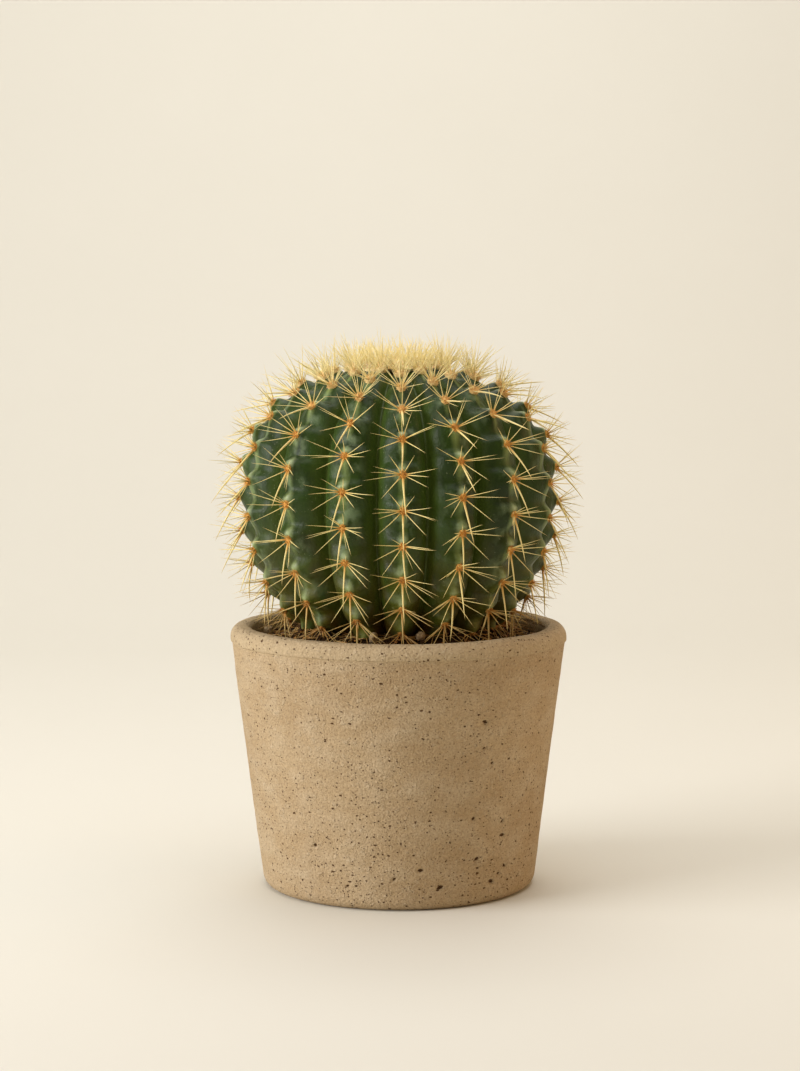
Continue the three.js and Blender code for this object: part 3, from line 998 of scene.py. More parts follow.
@dataclass
class ConcretePot:
    """A tapered pot with a rounded lip, cast in one piece, with a hole to drain it."""

    height: float = 109.0
    lip_radius: float = 70.0
    base_radius: float = 56.5
    wall: float = 9.0
    floor: float = 12.0
    lip_height: float = 6.2
    lip_proud: float = 0.6
    outer_rounding: float = 4.5
    inner_rounding: float = 2.5
    base_rounding: float = 4.5
    floor_rounding: float = 5.0
    drain_radius: float = 9.0
    columns: int = 500
    row_height: float = 0.8
    ledge_half: float = 0.45
    ledge_blend: float = 0.3
    lip_fade: Span = (8, 5)
    bare_inside_to: float = 98.0
    hidden_inside_from: float = 92.0
    blow_holes: int = 26
    crowded_holes: int = 10
    crowded_bearings: Span = (0.15, 1.0)
    low_share: float = 0.75
    low_zone: Span = (6, 44)
    high_zone: Span = (44, 100)
    hole_widths: Span = (0.6, 0.95)
    hole_tilts: Span = (-0.4, 0.9)
    hole_stretches: Span = (1.1, 2.4)
    waves: tuple[Wave, ...] = (Wave(0.24, 42, 1), Wave(0.13, 11, 2), Wave(0.06, 2.6, 3))
    seed: int = 3

    def wall_radius(self, height: np.ndarray) -> np.ndarray:
        """Outer radius of the tapered wall at a height."""
        share = height / (self.height - self.lip_height)
        return self.base_radius + (self.lip_radius - self.lip_proud - self.base_radius) * share

    def corner(self, centre: Span, radius: float, start: float, end: float, steps: int) -> np.ndarray:
        """Radius and height of the points of a round corner, between two angles in degrees."""
        angle = np.radians(np.linspace(start, end, steps))
        return np.stack([centre[0] + radius * np.cos(angle), centre[1] + radius * np.sin(angle)], -1)

    def face(self) -> np.ndarray:
        """The outer face, which steps out to the lip over a narrow ledge.

        Returns:
            Radius and height of each of its rows, from the foot up.
        """
        under = self.height - self.lip_height
        heights = np.arange(self.base_rounding + 0.6, self.height - self.outer_rounding, self.row_height)
        ledge = np.linspace(under - self.ledge_half, under + self.ledge_half, 7)
        heights = np.unique(np.concatenate([heights[np.abs(heights - under) > 0.6], ledge]))
        step = smooth_step(under - self.ledge_blend, under + self.ledge_blend, heights)
        return np.stack([self.wall_radius(heights) * (1 - step) + self.lip_radius * step, heights], -1)

    def profile(self) -> np.ndarray:
        """The pot's whole section. The last number of each stretch below is how many rows it has.

        Returns:
            Radius and height of each row, from the drain hole outwards and round.
        """
        inside = self.wall_radius(self.height) - self.wall
        bend = self.floor + self.floor_rounding
        base = (self.wall_radius(self.base_rounding) - self.base_rounding, self.base_rounding)
        outer = (self.lip_radius - self.outer_rounding, self.height - self.outer_rounding)
        inner = (inside + self.inner_rounding, self.height - self.inner_rounding)
        floor_bend = (self.wall_radius(bend) - self.wall - self.floor_rounding, bend)
        bare = np.linspace(self.height - self.inner_rounding - 0.8, self.bare_inside_to, 8)
        hidden = np.linspace(self.hidden_inside_from, bend + 2, 4)
        inner_wall = np.concatenate([bare, hidden])
        return np.concatenate([
            np.stack([np.linspace(self.drain_radius + 0.8, base[0] - 1.5, 9), np.zeros(9)], -1),
            self.corner(base, self.base_rounding, -90, 0, 8),
            self.face(),
            self.corner(outer, self.outer_rounding, 0, 90, 12),
            self.corner(inner, self.inner_rounding, 90, 180, 8),
            np.stack([self.wall_radius(inner_wall) - self.wall, inner_wall], -1),
            self.corner(floor_bend, self.floor_rounding, 0, -90, 5),
            np.stack([np.linspace(44, self.drain_radius + 1, 4), np.full(4, self.floor)], -1),
            np.stack([np.full(4, self.drain_radius), np.linspace(self.floor - 0.6, 0.5, 4)], -1),
        ])

    def roughen(self, points: np.ndarray, outward: np.ndarray) -> np.ndarray:
        """Moves the cast face by its waves and blow-holes, and leaves the underside flat.

        Args:
            points: points of the smooth face.
            outward: their outward directions.

        Returns:
            The moved points.
        """
        steady = smooth_step(0, 4, points[:, 2])
        dents = smooth_step(0.1, 0.9, self.hollows(points))
        return points + outward * (ripple(points, self.waves) * steady - dents)[:, None]

    def hollows(self, points: np.ndarray) -> np.ndarray:
        """How far inside one of the larger blow-holes each point is.

        Args:
            points: points of the smooth face.

        Returns:
            0 outside and at the brim, rising to 1 in a hole's middle.
        """
        rng = np.random.default_rng(self.seed)
        inside = np.zeros(len(points))
        for index in range(self.blow_holes):
            low = rng.random() < self.low_share
            height = rng.uniform(*(self.low_zone if low else self.high_zone))
            crowded = index < self.crowded_holes
            bearing = rng.uniform(*(self.crowded_bearings if crowded else (-math.pi, math.pi)))
            width = rng.uniform(*self.hole_widths)
            tilt = rng.uniform(*self.hole_tilts)
            centre = around(self.wall_radius(height), bearing, height)
            across = np.array([math.cos(bearing), math.sin(bearing), 0])
            offset = points - centre
            near = np.abs(offset).max(axis=1) < 4
            sideways, upward = offset[near] @ across, offset[near, 2]
            long_way = sideways * math.cos(tilt) + upward * math.sin(tilt)
            short_way = upward * math.cos(tilt) - sideways * math.sin(tilt)
            reach = np.hypot(long_way / (width * rng.uniform(*self.hole_stretches)), short_way / width)
            inside[near] = np.maximum(inside[near], np.clip(1.3 - reach, 0, 1))
        return inside

    def build(self, finish: bpy.types.Material) -> None:
        """Builds and dresses the pot.

        Args:
            finish: its concrete.
        """
        piece = Piece("concrete_pot")
        profile = self.profile()
        lip = smooth_step(self.height - self.lip_fade[0], self.height - self.lip_fade[1], profile[:, 1])
        lathe(piece, profile, self.columns, self.roughen, lip=lip)
        bearing = np.arange(self.columns) * FULL_TURN / self.columns
        smooth = around(profile[:, :1], bearing[None], profile[:, 1:]).reshape(-1, 3)
        piece.values[0]["hollow"] = self.hollows(smooth)
        ride(piece.build([finish]), Slot.CONCRETE, "pot")


# ---- Soil ----


@dataclass
class PottingSoil:
    """The soil, heaped a little towards the plant, with crumbs, grains and roots on it.

    Each loose stone is its bearing in degrees and its radius.
    """

    edge_height: float = 102.0
    edge_radius: float = 60.1
    rise: float = 1.5
    rise_radius: float = 30.0
    bottom: float = 12.4
    heap: float = 4.8
    heap_span: Span = (51, 41)
    row_step: float = 0.75
    columns: int = 420
    crumbs: int = 2600
    crumb_inner: float = 31
    litter: int = 330
    litter_ring: Span = (37, 56)
    litter_edge: float = 59.2
    loose_stones: tuple[Span, ...] = ((-13.5, 2.3), (11.5, 2.6))
    stone_ring: float = 43.5
    grit_grains: int = 44
    grit_ring: Span = (42, 57)
    grit_sizes: Span = (0.6, 1.5)
    lumps: tuple[Wave, ...] = (Wave(0.55, 5.5, 21), Wave(0.4, 2.3, 22), Wave(0.25, 1.1, 23))
    heap_waves: tuple[Wave, ...] = (Wave(0.3, 14, 25),)
    drain_waves: tuple[Wave, ...] = (Wave(1.0, 2.5, 24),)
    grit_waves: tuple[Wave, ...] = (Wave(0.3, 2.4, 26), Wave(0.06, 0.7, 27))
    seed: int = 11

    def height_at(self, radius: np.ndarray) -> np.ndarray:
        """Height of the smooth surface at a radius."""
        share = (self.edge_radius - radius) / (self.edge_radius - self.rise_radius)
        return self.edge_height + self.rise * np.clip(share, 0, 1)

    def relief(self, points: np.ndarray) -> np.ndarray:
        """Reads the crumbly surface, which is heaped against the plant.

        Args:
            points: where it is read. Their heights don't count.

        Returns:
            Its height above the smooth surface.
        """
        flat = points * [1, 1, 0]
        deepest = -0.6
        heap = self.heap * smooth_step(*self.heap_span, np.hypot(points[:, 0], points[:, 1]))
        return np.maximum(ripple(flat, self.lumps), deepest) + heap * (1 + ripple(flat, self.heap_waves))

    def build_bed(self, finish: bpy.types.Material) -> None:
        """Builds the bed of soil.

        Args:
            finish: its peat.
        """
        # The plant covers the middle, so few rows are enough there.
        rows = np.arange(self.rise_radius, self.edge_radius, self.row_step)
        radii = np.concatenate([[2, 16, 26], rows, [self.edge_radius]])
        top = np.stack([radii, self.height_at(radii)], -1)[::-1]
        side_heights = np.array([20.0, 60.0, 100.0])
        foot_radius, side_slope = 49.9, 0.1275
        side = np.stack([foot_radius + (side_heights - 20) * side_slope, side_heights], -1)
        under = np.stack([[2, 10, 30, 43.5, 47.2], [self.bottom] * 4 + [self.bottom + 2]], -1)
        piece = Piece("soil_bed")

        def shape(points: np.ndarray, outward: np.ndarray) -> np.ndarray:
            """Roughens the top, and the part that the drain hole shows.

            Args:
                points: points of the smooth bed.
                outward: their outward directions, which aren't used.

            Returns:
                The moved points.
            """
            radius = np.hypot(points[:, 0], points[:, 1])
            inner = smooth_step(self.edge_radius + 0.1, self.edge_radius - 1.5, radius)
            lift = np.where(points[:, 2] > self.edge_height - 1, self.relief(points) * inner, 0)
            hanging = 0.3 * (1 + ripple(points, self.drain_waves))
            lift = np.where(points[:, 2] < self.bottom + 0.2, hanging, lift)
            return points + np.stack([0 * lift, 0 * lift, lift], -1)

        lathe(piece, np.concatenate([under, side, top]), self.columns, shape)
        ride(piece.build([finish]), Slot.SOIL, "potting_soil")

    def build_crumbs(self, finish: bpy.types.Material) -> None:
        """Scatters crumbs of soil over the ring that shows.

        Args:
            finish: their peat.
        """
        rng = np.random.default_rng(self.seed)
        ball, faces = lump(subdivisions=1)
        piece = Piece("soil_crumbs")
        for _ in range(self.crumbs):
            # Most crumbs are small, because the power crowds the sizes at the low end.
            size = 0.35 + 1.15 * rng.random() ** 2.6
            radius = math.sqrt(rng.uniform(self.crumb_inner**2, (self.edge_radius - size) ** 2))
            bearing = rng.uniform(0, FULL_TURN)
            place = around(radius, np.array(bearing), self.height_at(radius))
            rough = ball * rng.uniform(0.62, 1.2, (len(ball), 1)) * size * rng.uniform(0.6, 1.2, 3)
            seat = self.relief(place[None])[0] + size * rng.uniform(0.15, 0.7)
            piece.add(rough @ turn(rng) + place + [0, 0, seat], faces, shade=rng.random() ** 3)
        ride(piece.build([finish]), Slot.SOIL)

    def build_grit(self, finish: bpy.types.Material) -> None:
        """Scatters small loose grit on the heap, with two larger stones in front of the plant.

        Args:
            finish: their stone.
        """
        rng = np.random.default_rng(self.seed + 2)
        ball, faces = lump(subdivisions=3)
        places = [(math.radians(bearing), self.stone_ring, size) for bearing, size in self.loose_stones]
        for _ in range(self.grit_grains):
            bearing, radius = rng.uniform(0, FULL_TURN), rng.uniform(*self.grit_ring)
            places.append((bearing, radius, rng.uniform(*self.grit_sizes)))
        piece = Piece("loose_grit")
        for bearing, radius, size in places:
            place = around(radius, np.array(bearing), self.height_at(radius))
            bumps = ripple(ball * 3 + place, self.grit_waves)
            stone = ball * (1 + bumps)[:, None] * size * rng.uniform(0.7, 1.05, 3)
            above = 0.85 if size > 2 else 0.5
            seat = self.relief(place[None])[0] + size * above
            piece.add(stone @ turn(rng) + place + [0, 0, seat], faces)
        ride(piece.build([finish]), Slot.GRIT)

    def build_litter(self, finish: bpy.types.Material) -> None:
        """Lays shed spines and fine roots on the soil.

        Args:
            finish: their horn.
        """
        rng = np.random.default_rng(self.seed + 1)
        sides = 5
        stations = np.linspace(0, 1, 8)
        radius = np.sqrt(rng.uniform(*np.square(self.litter_ring), self.litter))
        bearing = rng.uniform(0, FULL_TURN, self.litter)
        heading = rng.uniform(0, FULL_TURN, self.litter)
        length = rng.uniform(4, 13, self.litter)
        bend = rng.normal(0, 0.9, self.litter)
        turned = heading[:, None] + bend[:, None] * (stations - 0.5)
        step = length[:, None] / (len(stations) - 1)
        flat = np.stack([np.cumsum(np.cos(turned) * step, 1), np.cumsum(np.sin(turned) * step, 1)], -1)
        flat = flat - flat.mean(axis=1, keepdims=True)
        flat = flat + np.stack([radius * np.sin(bearing), -radius * np.cos(bearing)], -1)[:, None]
        reach = np.linalg.norm(flat, axis=-1, keepdims=True)
        flat = flat * np.minimum(1, self.litter_edge / reach)
        level = np.concatenate([flat, np.zeros(flat.shape[:2] + (1,))], -1)
        crumbly = self.relief(level.reshape(-1, 3)).reshape(reach.shape[:2])
        ground = self.height_at(np.linalg.norm(flat, axis=-1)) + crumbly
        rest = np.maximum(ground, ground.mean(axis=1, keepdims=True)) + 0.35
        lifted = rest + rng.uniform(0, 1.6, (self.litter, 1)) * stations
        paths = np.concatenate([flat, lifted[..., None]], -1)
        thick = rng.uniform(0.14, 0.34, (self.litter, 1)) * (1 - stations) ** 0.5 + 0.04
        points, faces = tubes(paths, thick, sides)
        along = np.tile(per_point(stations, sides), self.litter)
        shade = np.repeat(rng.uniform(0.6, 1, self.litter), len(points) // self.litter)
        piece = Piece("soil_litter")
        piece.add(points, faces, along=along, shade=shade, youth=0.0)
        ride(piece.build([finish]), Slot.SPINES)


@dataclass
class GritStones:
    """Loose stones on the ring of bare soil."""

    count: int = 6
    facet_steps: float = 2.5
    seed: int = 17

    def build(self, finish: bpy.types.Material) -> None:
        """Builds each stone in the space that its node holds.

        Args:
            finish: their stone.
        """
        ball, faces = lump(subdivisions=4)
        for index in range(self.count):
            node = f"grit_stone_{index + 1}"
            low, high = (np.array(corner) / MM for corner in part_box(node))
            middle, half = (low + high) / 2, (high - low) / 2
            seed = self.seed + index
            rounded = np.round(noise(ball * 3 + index * 7, 2.1, seed) * self.facet_steps)
            facets = 0.16 * rounded / self.facet_steps
            bumps = ripple(ball * 3, (Wave(0.16, 1.6, seed + 50), Wave(0.05, 0.6, seed + 90)))
            stone = ball * (0.98 + 0.6 * facets + bumps)[:, None] * half
            piece = Piece(f"worn_stone_{index + 1}")
            piece.add(stone + middle, faces)
            ride(piece.build([finish]), Slot.GRIT, node)


# ---- Cactus body ----


@dataclass
class CactusBody:
    """A globe of upright ribs that are pinched between their areoles."""

    ribs: Ribs = Ribs()
    rib_depth: float = 12.0
    notch_depth: float = 2.6
    notch_fade: float = 24.0
    bulge: float = 0.7
    bluntness: float = 0.07
    straight_share: float = 0.42
    valley_fill: float = 0.042
    columns_per_rib: int = 24
    column_crowding: float = 0.85
    rows_above_soil: int = 190
    rows_below_soil: int = 14
    soil_line: float = 98.0
    growth: tuple[Wave, ...] = (Wave(0.35, 16, 31), Wave(0.08, 4, 32))

    def columns(self) -> tuple[np.ndarray, np.ndarray, np.ndarray]:
        """Where the columns of points stand.

        Returns:
            Each one's bearing, its place from -1 to 1 across its rib, and its rib's number.
        """
        half = self.columns_per_rib // 2
        share = np.arange(-half, half) / half
        share = np.sign(share) * np.abs(share) ** self.column_crowding
        bearing, across, rib_number = [], [], []
        for rib in range(self.ribs.count):
            here = self.ribs.bearing(rib)
            for place in share:
                beside = self.ribs.bearing(rib + (1 if place > 0 else -1))
                bearing.append(here + (beside - here) * abs(place) / 2)
                across.append(place)
                rib_number.append(rib)
        return np.array(bearing), np.array(across), np.array(rib_number)

    def faces(self, rows: int, columns: int) -> np.ndarray:
        """Triangles of the globe, whose two poles are the last points.

        Args:
            rows: number of rows.
            columns: points in each row.

        Returns:
            Three point numbers per triangle.
        """
        ring = np.arange(columns)
        beside = (ring + 1) % columns
        bottom, top = rows * columns, rows * columns + 1
        last = (rows - 1) * columns
        return np.concatenate([
            grid_faces(rows, columns),
            np.stack([beside, ring, np.full(columns, bottom)], -1),
            np.stack([last + ring, last + beside, np.full(columns, top)], -1),
        ])

    def build(self, finish: bpy.types.Material) -> None:
        """Builds and dresses the body.

        Args:
            finish: its skin.
        """
        crest, ribs = self.ribs.crest, self.ribs
        soil = crest.distance_at(self.soil_line)
        distance = np.concatenate([
            np.linspace(0.6, soil, self.rows_below_soil, endpoint=False),
            np.linspace(soil, crest.length - 0.4, self.rows_above_soil),
        ])
        bearing, across, rib_number = self.columns()
        point, _, normal = crest.at(distance)
        size = point[:, :1] / crest.radius
        side = np.abs(across)[None]

        # The phase is the place between an areole, at 0, and the next one up, at 1.
        offset = np.array([ribs.offset(rib) for rib in range(ribs.count)])[rib_number]
        steps = (distance[:, None] - ribs.first) / ribs.step - offset[None]
        phase = steps - np.floor(steps)
        pinch = smooth_step(0.14, 0.44, phase) * (1 - smooth_step(0.44, 1.0, phase))
        swell = smooth_step(-0.05, 0.16, phase) * (1 - smooth_step(0.18, 0.42, phase))

        # Each rib falls from a blunt crest along nearly flat flanks into a narrow valley.
        ridge = np.sqrt(side**2 + self.bluntness**2) - self.bluntness
        ridge = self.straight_share * ridge + (1 - self.straight_share) * side**5
        groove = 1 - self.valley_fill * smooth_step(0.9, 1.0, side)
        fade = np.minimum(1, point[:, :1] / self.notch_fade)
        notch = self.notch_depth * pinch * (1 - side) ** 0.9 * fade
        bulge = self.bulge * swell * (1 - side) ** 1.5 * fade
        smooth = around(point[:, :1], bearing[None], point[:, 1:]).reshape(-1, 3)
        grown = ripple(smooth, self.growth).reshape(notch.shape)
        sink = self.rib_depth * size * ridge * groove + notch - bulge - grown * fade
        radius = np.maximum(point[:, :1] - sink * normal[:, :1], 0.3)
        height = point[:, 1:] - sink * normal[:, 1:]
        points = around(radius, bearing[None], height).reshape(-1, 3)
        poles = np.array([[0, 0, crest.equator - crest.base_drop], [0, 0, crest.equator + crest.crown_rise]])

        # Painted values from 0 to 1 say where the skin has pale crests that are partly painted highlight,
        # painted highlights on its shoulders, blue-grey wax that is partly painted highlight, and where it is
        # yellowed or corky.
        low = 0.55 * (1 - smooth_step(104, 172, height)) + 0.45 * (1 - smooth_step(105, 124, height))
        values = {
            # Pale crests, partly their own tone and partly painted highlight, weaker in the pinches.
            "crest": (1 - smooth_step(0.0, 0.24, side)) * (0.35 + 0.65 * (1 - pinch)) + 0 * height,
            "valley": smooth_step(0.55, 1.0, side) + 0 * height,
            # Painted highlight on the shoulders above the areoles, fading towards the soil.
            "shoulder": (1 - smooth_step(0.0, 0.2, side)) * swell**2 * smooth_step(0.1, 0.3, size)
            * (0.35 + 0.65 * smooth_step(108, 140, height)),
            # Where the blue-grey wax and its painted highlight can show: most on the crests.
            "open": 1 - smooth_step(0.0, 0.8, side) + 0 * height,
            "ripe": 0.75 * (1 - smooth_step(105, 156, height)) * (1 - smooth_step(0.1, 0.75, side)),
            "cork": low * smooth_step(-0.1, 0.8, side),
        }
        padded = {name: np.append(value.ravel(), [0, 0]) for name, value in values.items()}
        piece = Piece("cactus_globe")
        piece.add(np.concatenate([points, poles]), self.faces(len(distance), len(bearing)), **padded)
        ride(piece.build([finish]), Slot.SKIN, "cactus_body")


# ---- Spines ----


@dataclass(frozen=True)
class SpineKind:
    """One spine of an areole.

    Its heading goes round from across the rib, and its lean is out of the rib, both in degrees. The chance
    is how often an areole has it.
    """

    heading: float
    lean: float
    length: float
    thickness: float
    droop: float = 0.0
    chance: float = 1.0


DOWN = -90
OLD_AREOLE = (
    SpineKind(55, 53, 13.0, 0.42), SpineKind(125, 53, 13.0, 0.42),
    SpineKind(90, 66, 14.5, 0.42, chance=0.55),
    SpineKind(13, 40, 16.4, 0.44), SpineKind(167, 40, 16.4, 0.44),
    SpineKind(-3, 42, 16.6, 0.44), SpineKind(183, 42, 16.6, 0.44),
    SpineKind(-15, 34, 15.6, 0.42, chance=0.6), SpineKind(195, 34, 15.6, 0.42, chance=0.5),
    SpineKind(-44, 37, 15.4, 0.46), SpineKind(224, 37, 15.4, 0.46),
    SpineKind(-74, 26, 9.5, 0.36, chance=0.4), SpineKind(DOWN, 35, 20.5, 0.96, 0.14),
)
YOUNG_AREOLE = (
    SpineKind(92, 42, 12.0, 0.34), SpineKind(64, 40, 12.5, 0.34), SpineKind(118, 40, 12.5, 0.34),
    SpineKind(36, 36, 14.0, 0.36), SpineKind(146, 36, 14.0, 0.36), SpineKind(22, 48, 14.5, 0.36),
    SpineKind(12, 36, 15.0, 0.38), SpineKind(168, 36, 15.0, 0.38), SpineKind(160, 50, 14.5, 0.36),
    SpineKind(-6, 36, 15.4, 0.40), SpineKind(187, 36, 15.4, 0.40),
    SpineKind(-30, 34, 14.6, 0.40), SpineKind(210, 34, 14.6, 0.40),
    SpineKind(-58, 34, 13.0, 0.38), SpineKind(238, 34, 13.0, 0.38),
    SpineKind(DOWN, 42, 18.0, 0.60, 0.05), SpineKind(70, 60, 17.5, 0.44), SpineKind(115, 66, 18.0, 0.44),
    SpineKind(-60, 66, 18.0, 0.46), SpineKind(-120, 56, 18.0, 0.44), SpineKind(0, 78, 17.5, 0.44, chance=0.8),
)


@dataclass
class SpineRows:
    """The areoles of each rib: a felt pad each, with its spines.

    The young and upright limits are distances below the crown, along the crest.
    """

    ribs: Ribs = Ribs()
    soil: PottingSoil = field(default_factory=PottingSoil)
    young_from: float = 70.0
    young_to: float = 22.0
    upright_from: float = 52.0
    upright_to: float = 14.0
    upright_lean: float = 60.0
    steepest: float = 86.0
    age_shades: tuple[float, ...] = (0.7, 0.45, 0.2)
    blunt_tip: float = 0.045
    fibres: int = 110
    fibre_radii: Place = (0.085, 0.07, 0.02)
    pad_waves: tuple[Wave, ...] = (Wave(0.14, 1.7, 41), Wave(0.06, 0.8, 42))
    segments: int = 7
    sides: int = 6
    seed: int = 23

    def areole(self, rib: int, distance: float) -> tuple[np.ndarray, np.ndarray]:
        """Where an areole is.

        Args:
            rib: the rib it sits on.
            distance: its distance along the crest.

        Returns:
            Its centre, and the directions across the rib, up along it and out of it as three rows.
        """
        (point,), (tangent,), (normal,) = self.ribs.crest.at(np.array([distance]))
        bearing = self.ribs.bearing(rib)
        away = np.array([math.sin(bearing), -math.cos(bearing), 0])
        across = np.array([math.cos(bearing), math.sin(bearing), 0])
        up, out = (away * pair[0] + [0, 0, pair[1]] for pair in (tangent, normal))
        return away * point[0] + [0, 0, point[1]], np.stack([across, up, out])

    def spine(self, kind: SpineKind, centre: np.ndarray, axes: np.ndarray, upright: float,
              rng: np.random.Generator) -> tuple[np.ndarray, np.ndarray]:
        """The path of one spine and its radius along it. It lies on the soil where it meets it.

        Args:
            kind: its usual heading, lean, length and thickness.
            centre: the areole's centre.
            axes: the areole's directions.
            upright: how far it is turned to stand out of the crown, from 0 to 1.
            rng: source of its small differences.

        Returns:
            Its path's points and the radius at each.
        """
        stray = 1.6 if kind.heading == DOWN else 5.0 + 13 * upright
        heading = math.radians(kind.heading + rng.normal(0, stray))
        lean = kind.lean + rng.normal(0, 5 + 8 * upright) + upright * (self.upright_lean - kind.lean) * 0.7
        lean = math.radians(min(lean, self.steepest))
        flat = math.cos(lean)
        local = np.array([math.cos(heading) * flat, math.sin(heading) * flat, math.sin(lean)])
        direction = local @ axes
        length = kind.length * rng.uniform(0.86, 1.08) * (1 - 0.06 * upright)
        sway = rng.normal(0, 0.035, 3) @ axes
        sway = sway - kind.droop * rng.uniform(0.6, 1.4) * (axes[2] * 0.75 + axes[1] * 0.1)
        along = np.linspace(0, 1, self.segments + 1)[:, None]
        start = centre + local[:2] @ axes[:2] * 0.8 + axes[2] * 0.25
        path = start + length * (along * direction + along**2 * sway)
        ground = self.soil.height_at(np.hypot(path[:, 0], path[:, 1])) + self.soil.relief(path)
        path[:, 2] = np.maximum(path[:, 2], ground + rng.uniform(0.3, 1.0))
        taper = kind.thickness / 2 * (1 - along[:, 0]) ** 0.62 * rng.uniform(0.88, 1.1)
        return path, np.maximum(taper, self.blunt_tip)

    def felt(self, piece: Piece, centre: np.ndarray, axes: np.ndarray, youth: float, old: float,
             rng: np.random.Generator) -> None:
        """Adds an areole's pad of felt and its loose fibres.

        Args:
            piece: the row that it is added to.
            centre: the pad's centre.
            axes: the areole's directions.
            youth: 1 on the youngest areoles and 0 on grown ones.
            old: how dark it is with age.
            rng: source of its small differences.
        """
        ball, faces = lump(subdivisions=3)
        size = np.array([1.25 + 1.0 * youth, 1.65 + 1.0 * youth, 1.0 + 1.0 * youth])
        rough = ball * (1 + ripple(ball * 4 + centre, self.pad_waves))[:, None]
        piece.add(centre + (rough * size) @ axes, faces, 1, youth=youth, shade=old)
        count = int(self.fibres * (1 + 0.25 * youth))
        base = unit(rng.normal(size=(count, 3)) * [1, 1, 0.8] + [0, 0, 0.75])
        base[:, 2] = np.abs(base[:, 2])
        lean = unit(base + rng.normal(0, 0.45, (count, 3)))
        reach = rng.uniform(0.4, 1.05, (count, 1)) * (1 + 0.5 * youth)
        along = np.linspace(0, 1, 3)[None, :, None]
        curl = rng.normal(0, 0.3, (count, 1, 3))
        strand = lean[:, None] * along + curl * along**2
        local = (base * size * 0.92)[:, None] + reach[:, None] * strand
        radii = np.broadcast_to(self.fibre_radii, (count, 3))
        points, triangles = tubes(centre + local @ axes, radii, 3)
        shade = np.repeat(np.clip(rng.normal(old, 0.18, count), 0, 1), len(points) // count)
        piece.add(points, triangles, 1, youth=youth, shade=shade)

    def build(self, horn: bpy.types.Material, felt: bpy.types.Material) -> None:
        """Builds a row for each rib.

        Args:
            horn: finish of the spines.
            felt: finish of the pads.
        """
        along = per_point(np.linspace(0, 1, self.segments + 1), self.sides)
        crown = self.ribs.crest.length
        for rib in range(self.ribs.count):
            rng = np.random.default_rng(self.seed + rib)
            node = f"spine_row_{rib + 1:02d}"
            piece = Piece(f"spines_{rib + 1:02d}")
            for index, distance in enumerate(self.ribs.distances(rib)):
                centre, axes = self.areole(rib, distance)
                left = np.array(crown - distance)
                youth = float(smooth_step(self.young_from, self.young_to, left))
                upright = float(smooth_step(self.upright_from, self.upright_to, left))
                old = self.age_shades[index] if index < len(self.age_shades) else 0.0
                kinds = YOUNG_AREOLE if rng.random() < youth * 1.2 - 0.1 else OLD_AREOLE
                self.felt(piece, centre + axes[2] * 0.15, axes, youth, old * 0.8, rng)
                for kind in kinds:
                    if rng.random() > kind.chance:
                        continue
                    path, radii = self.spine(kind, centre, axes, upright, rng)
                    points, faces = tubes(path[None], radii[None], self.sides)
                    shade = np.clip(rng.normal(old, 0.08), 0, 1)
                    piece.add(points, faces, 0, along=along, youth=youth, shade=shade)
            ride(piece.build([horn, felt]), Slot.SPINES, node)


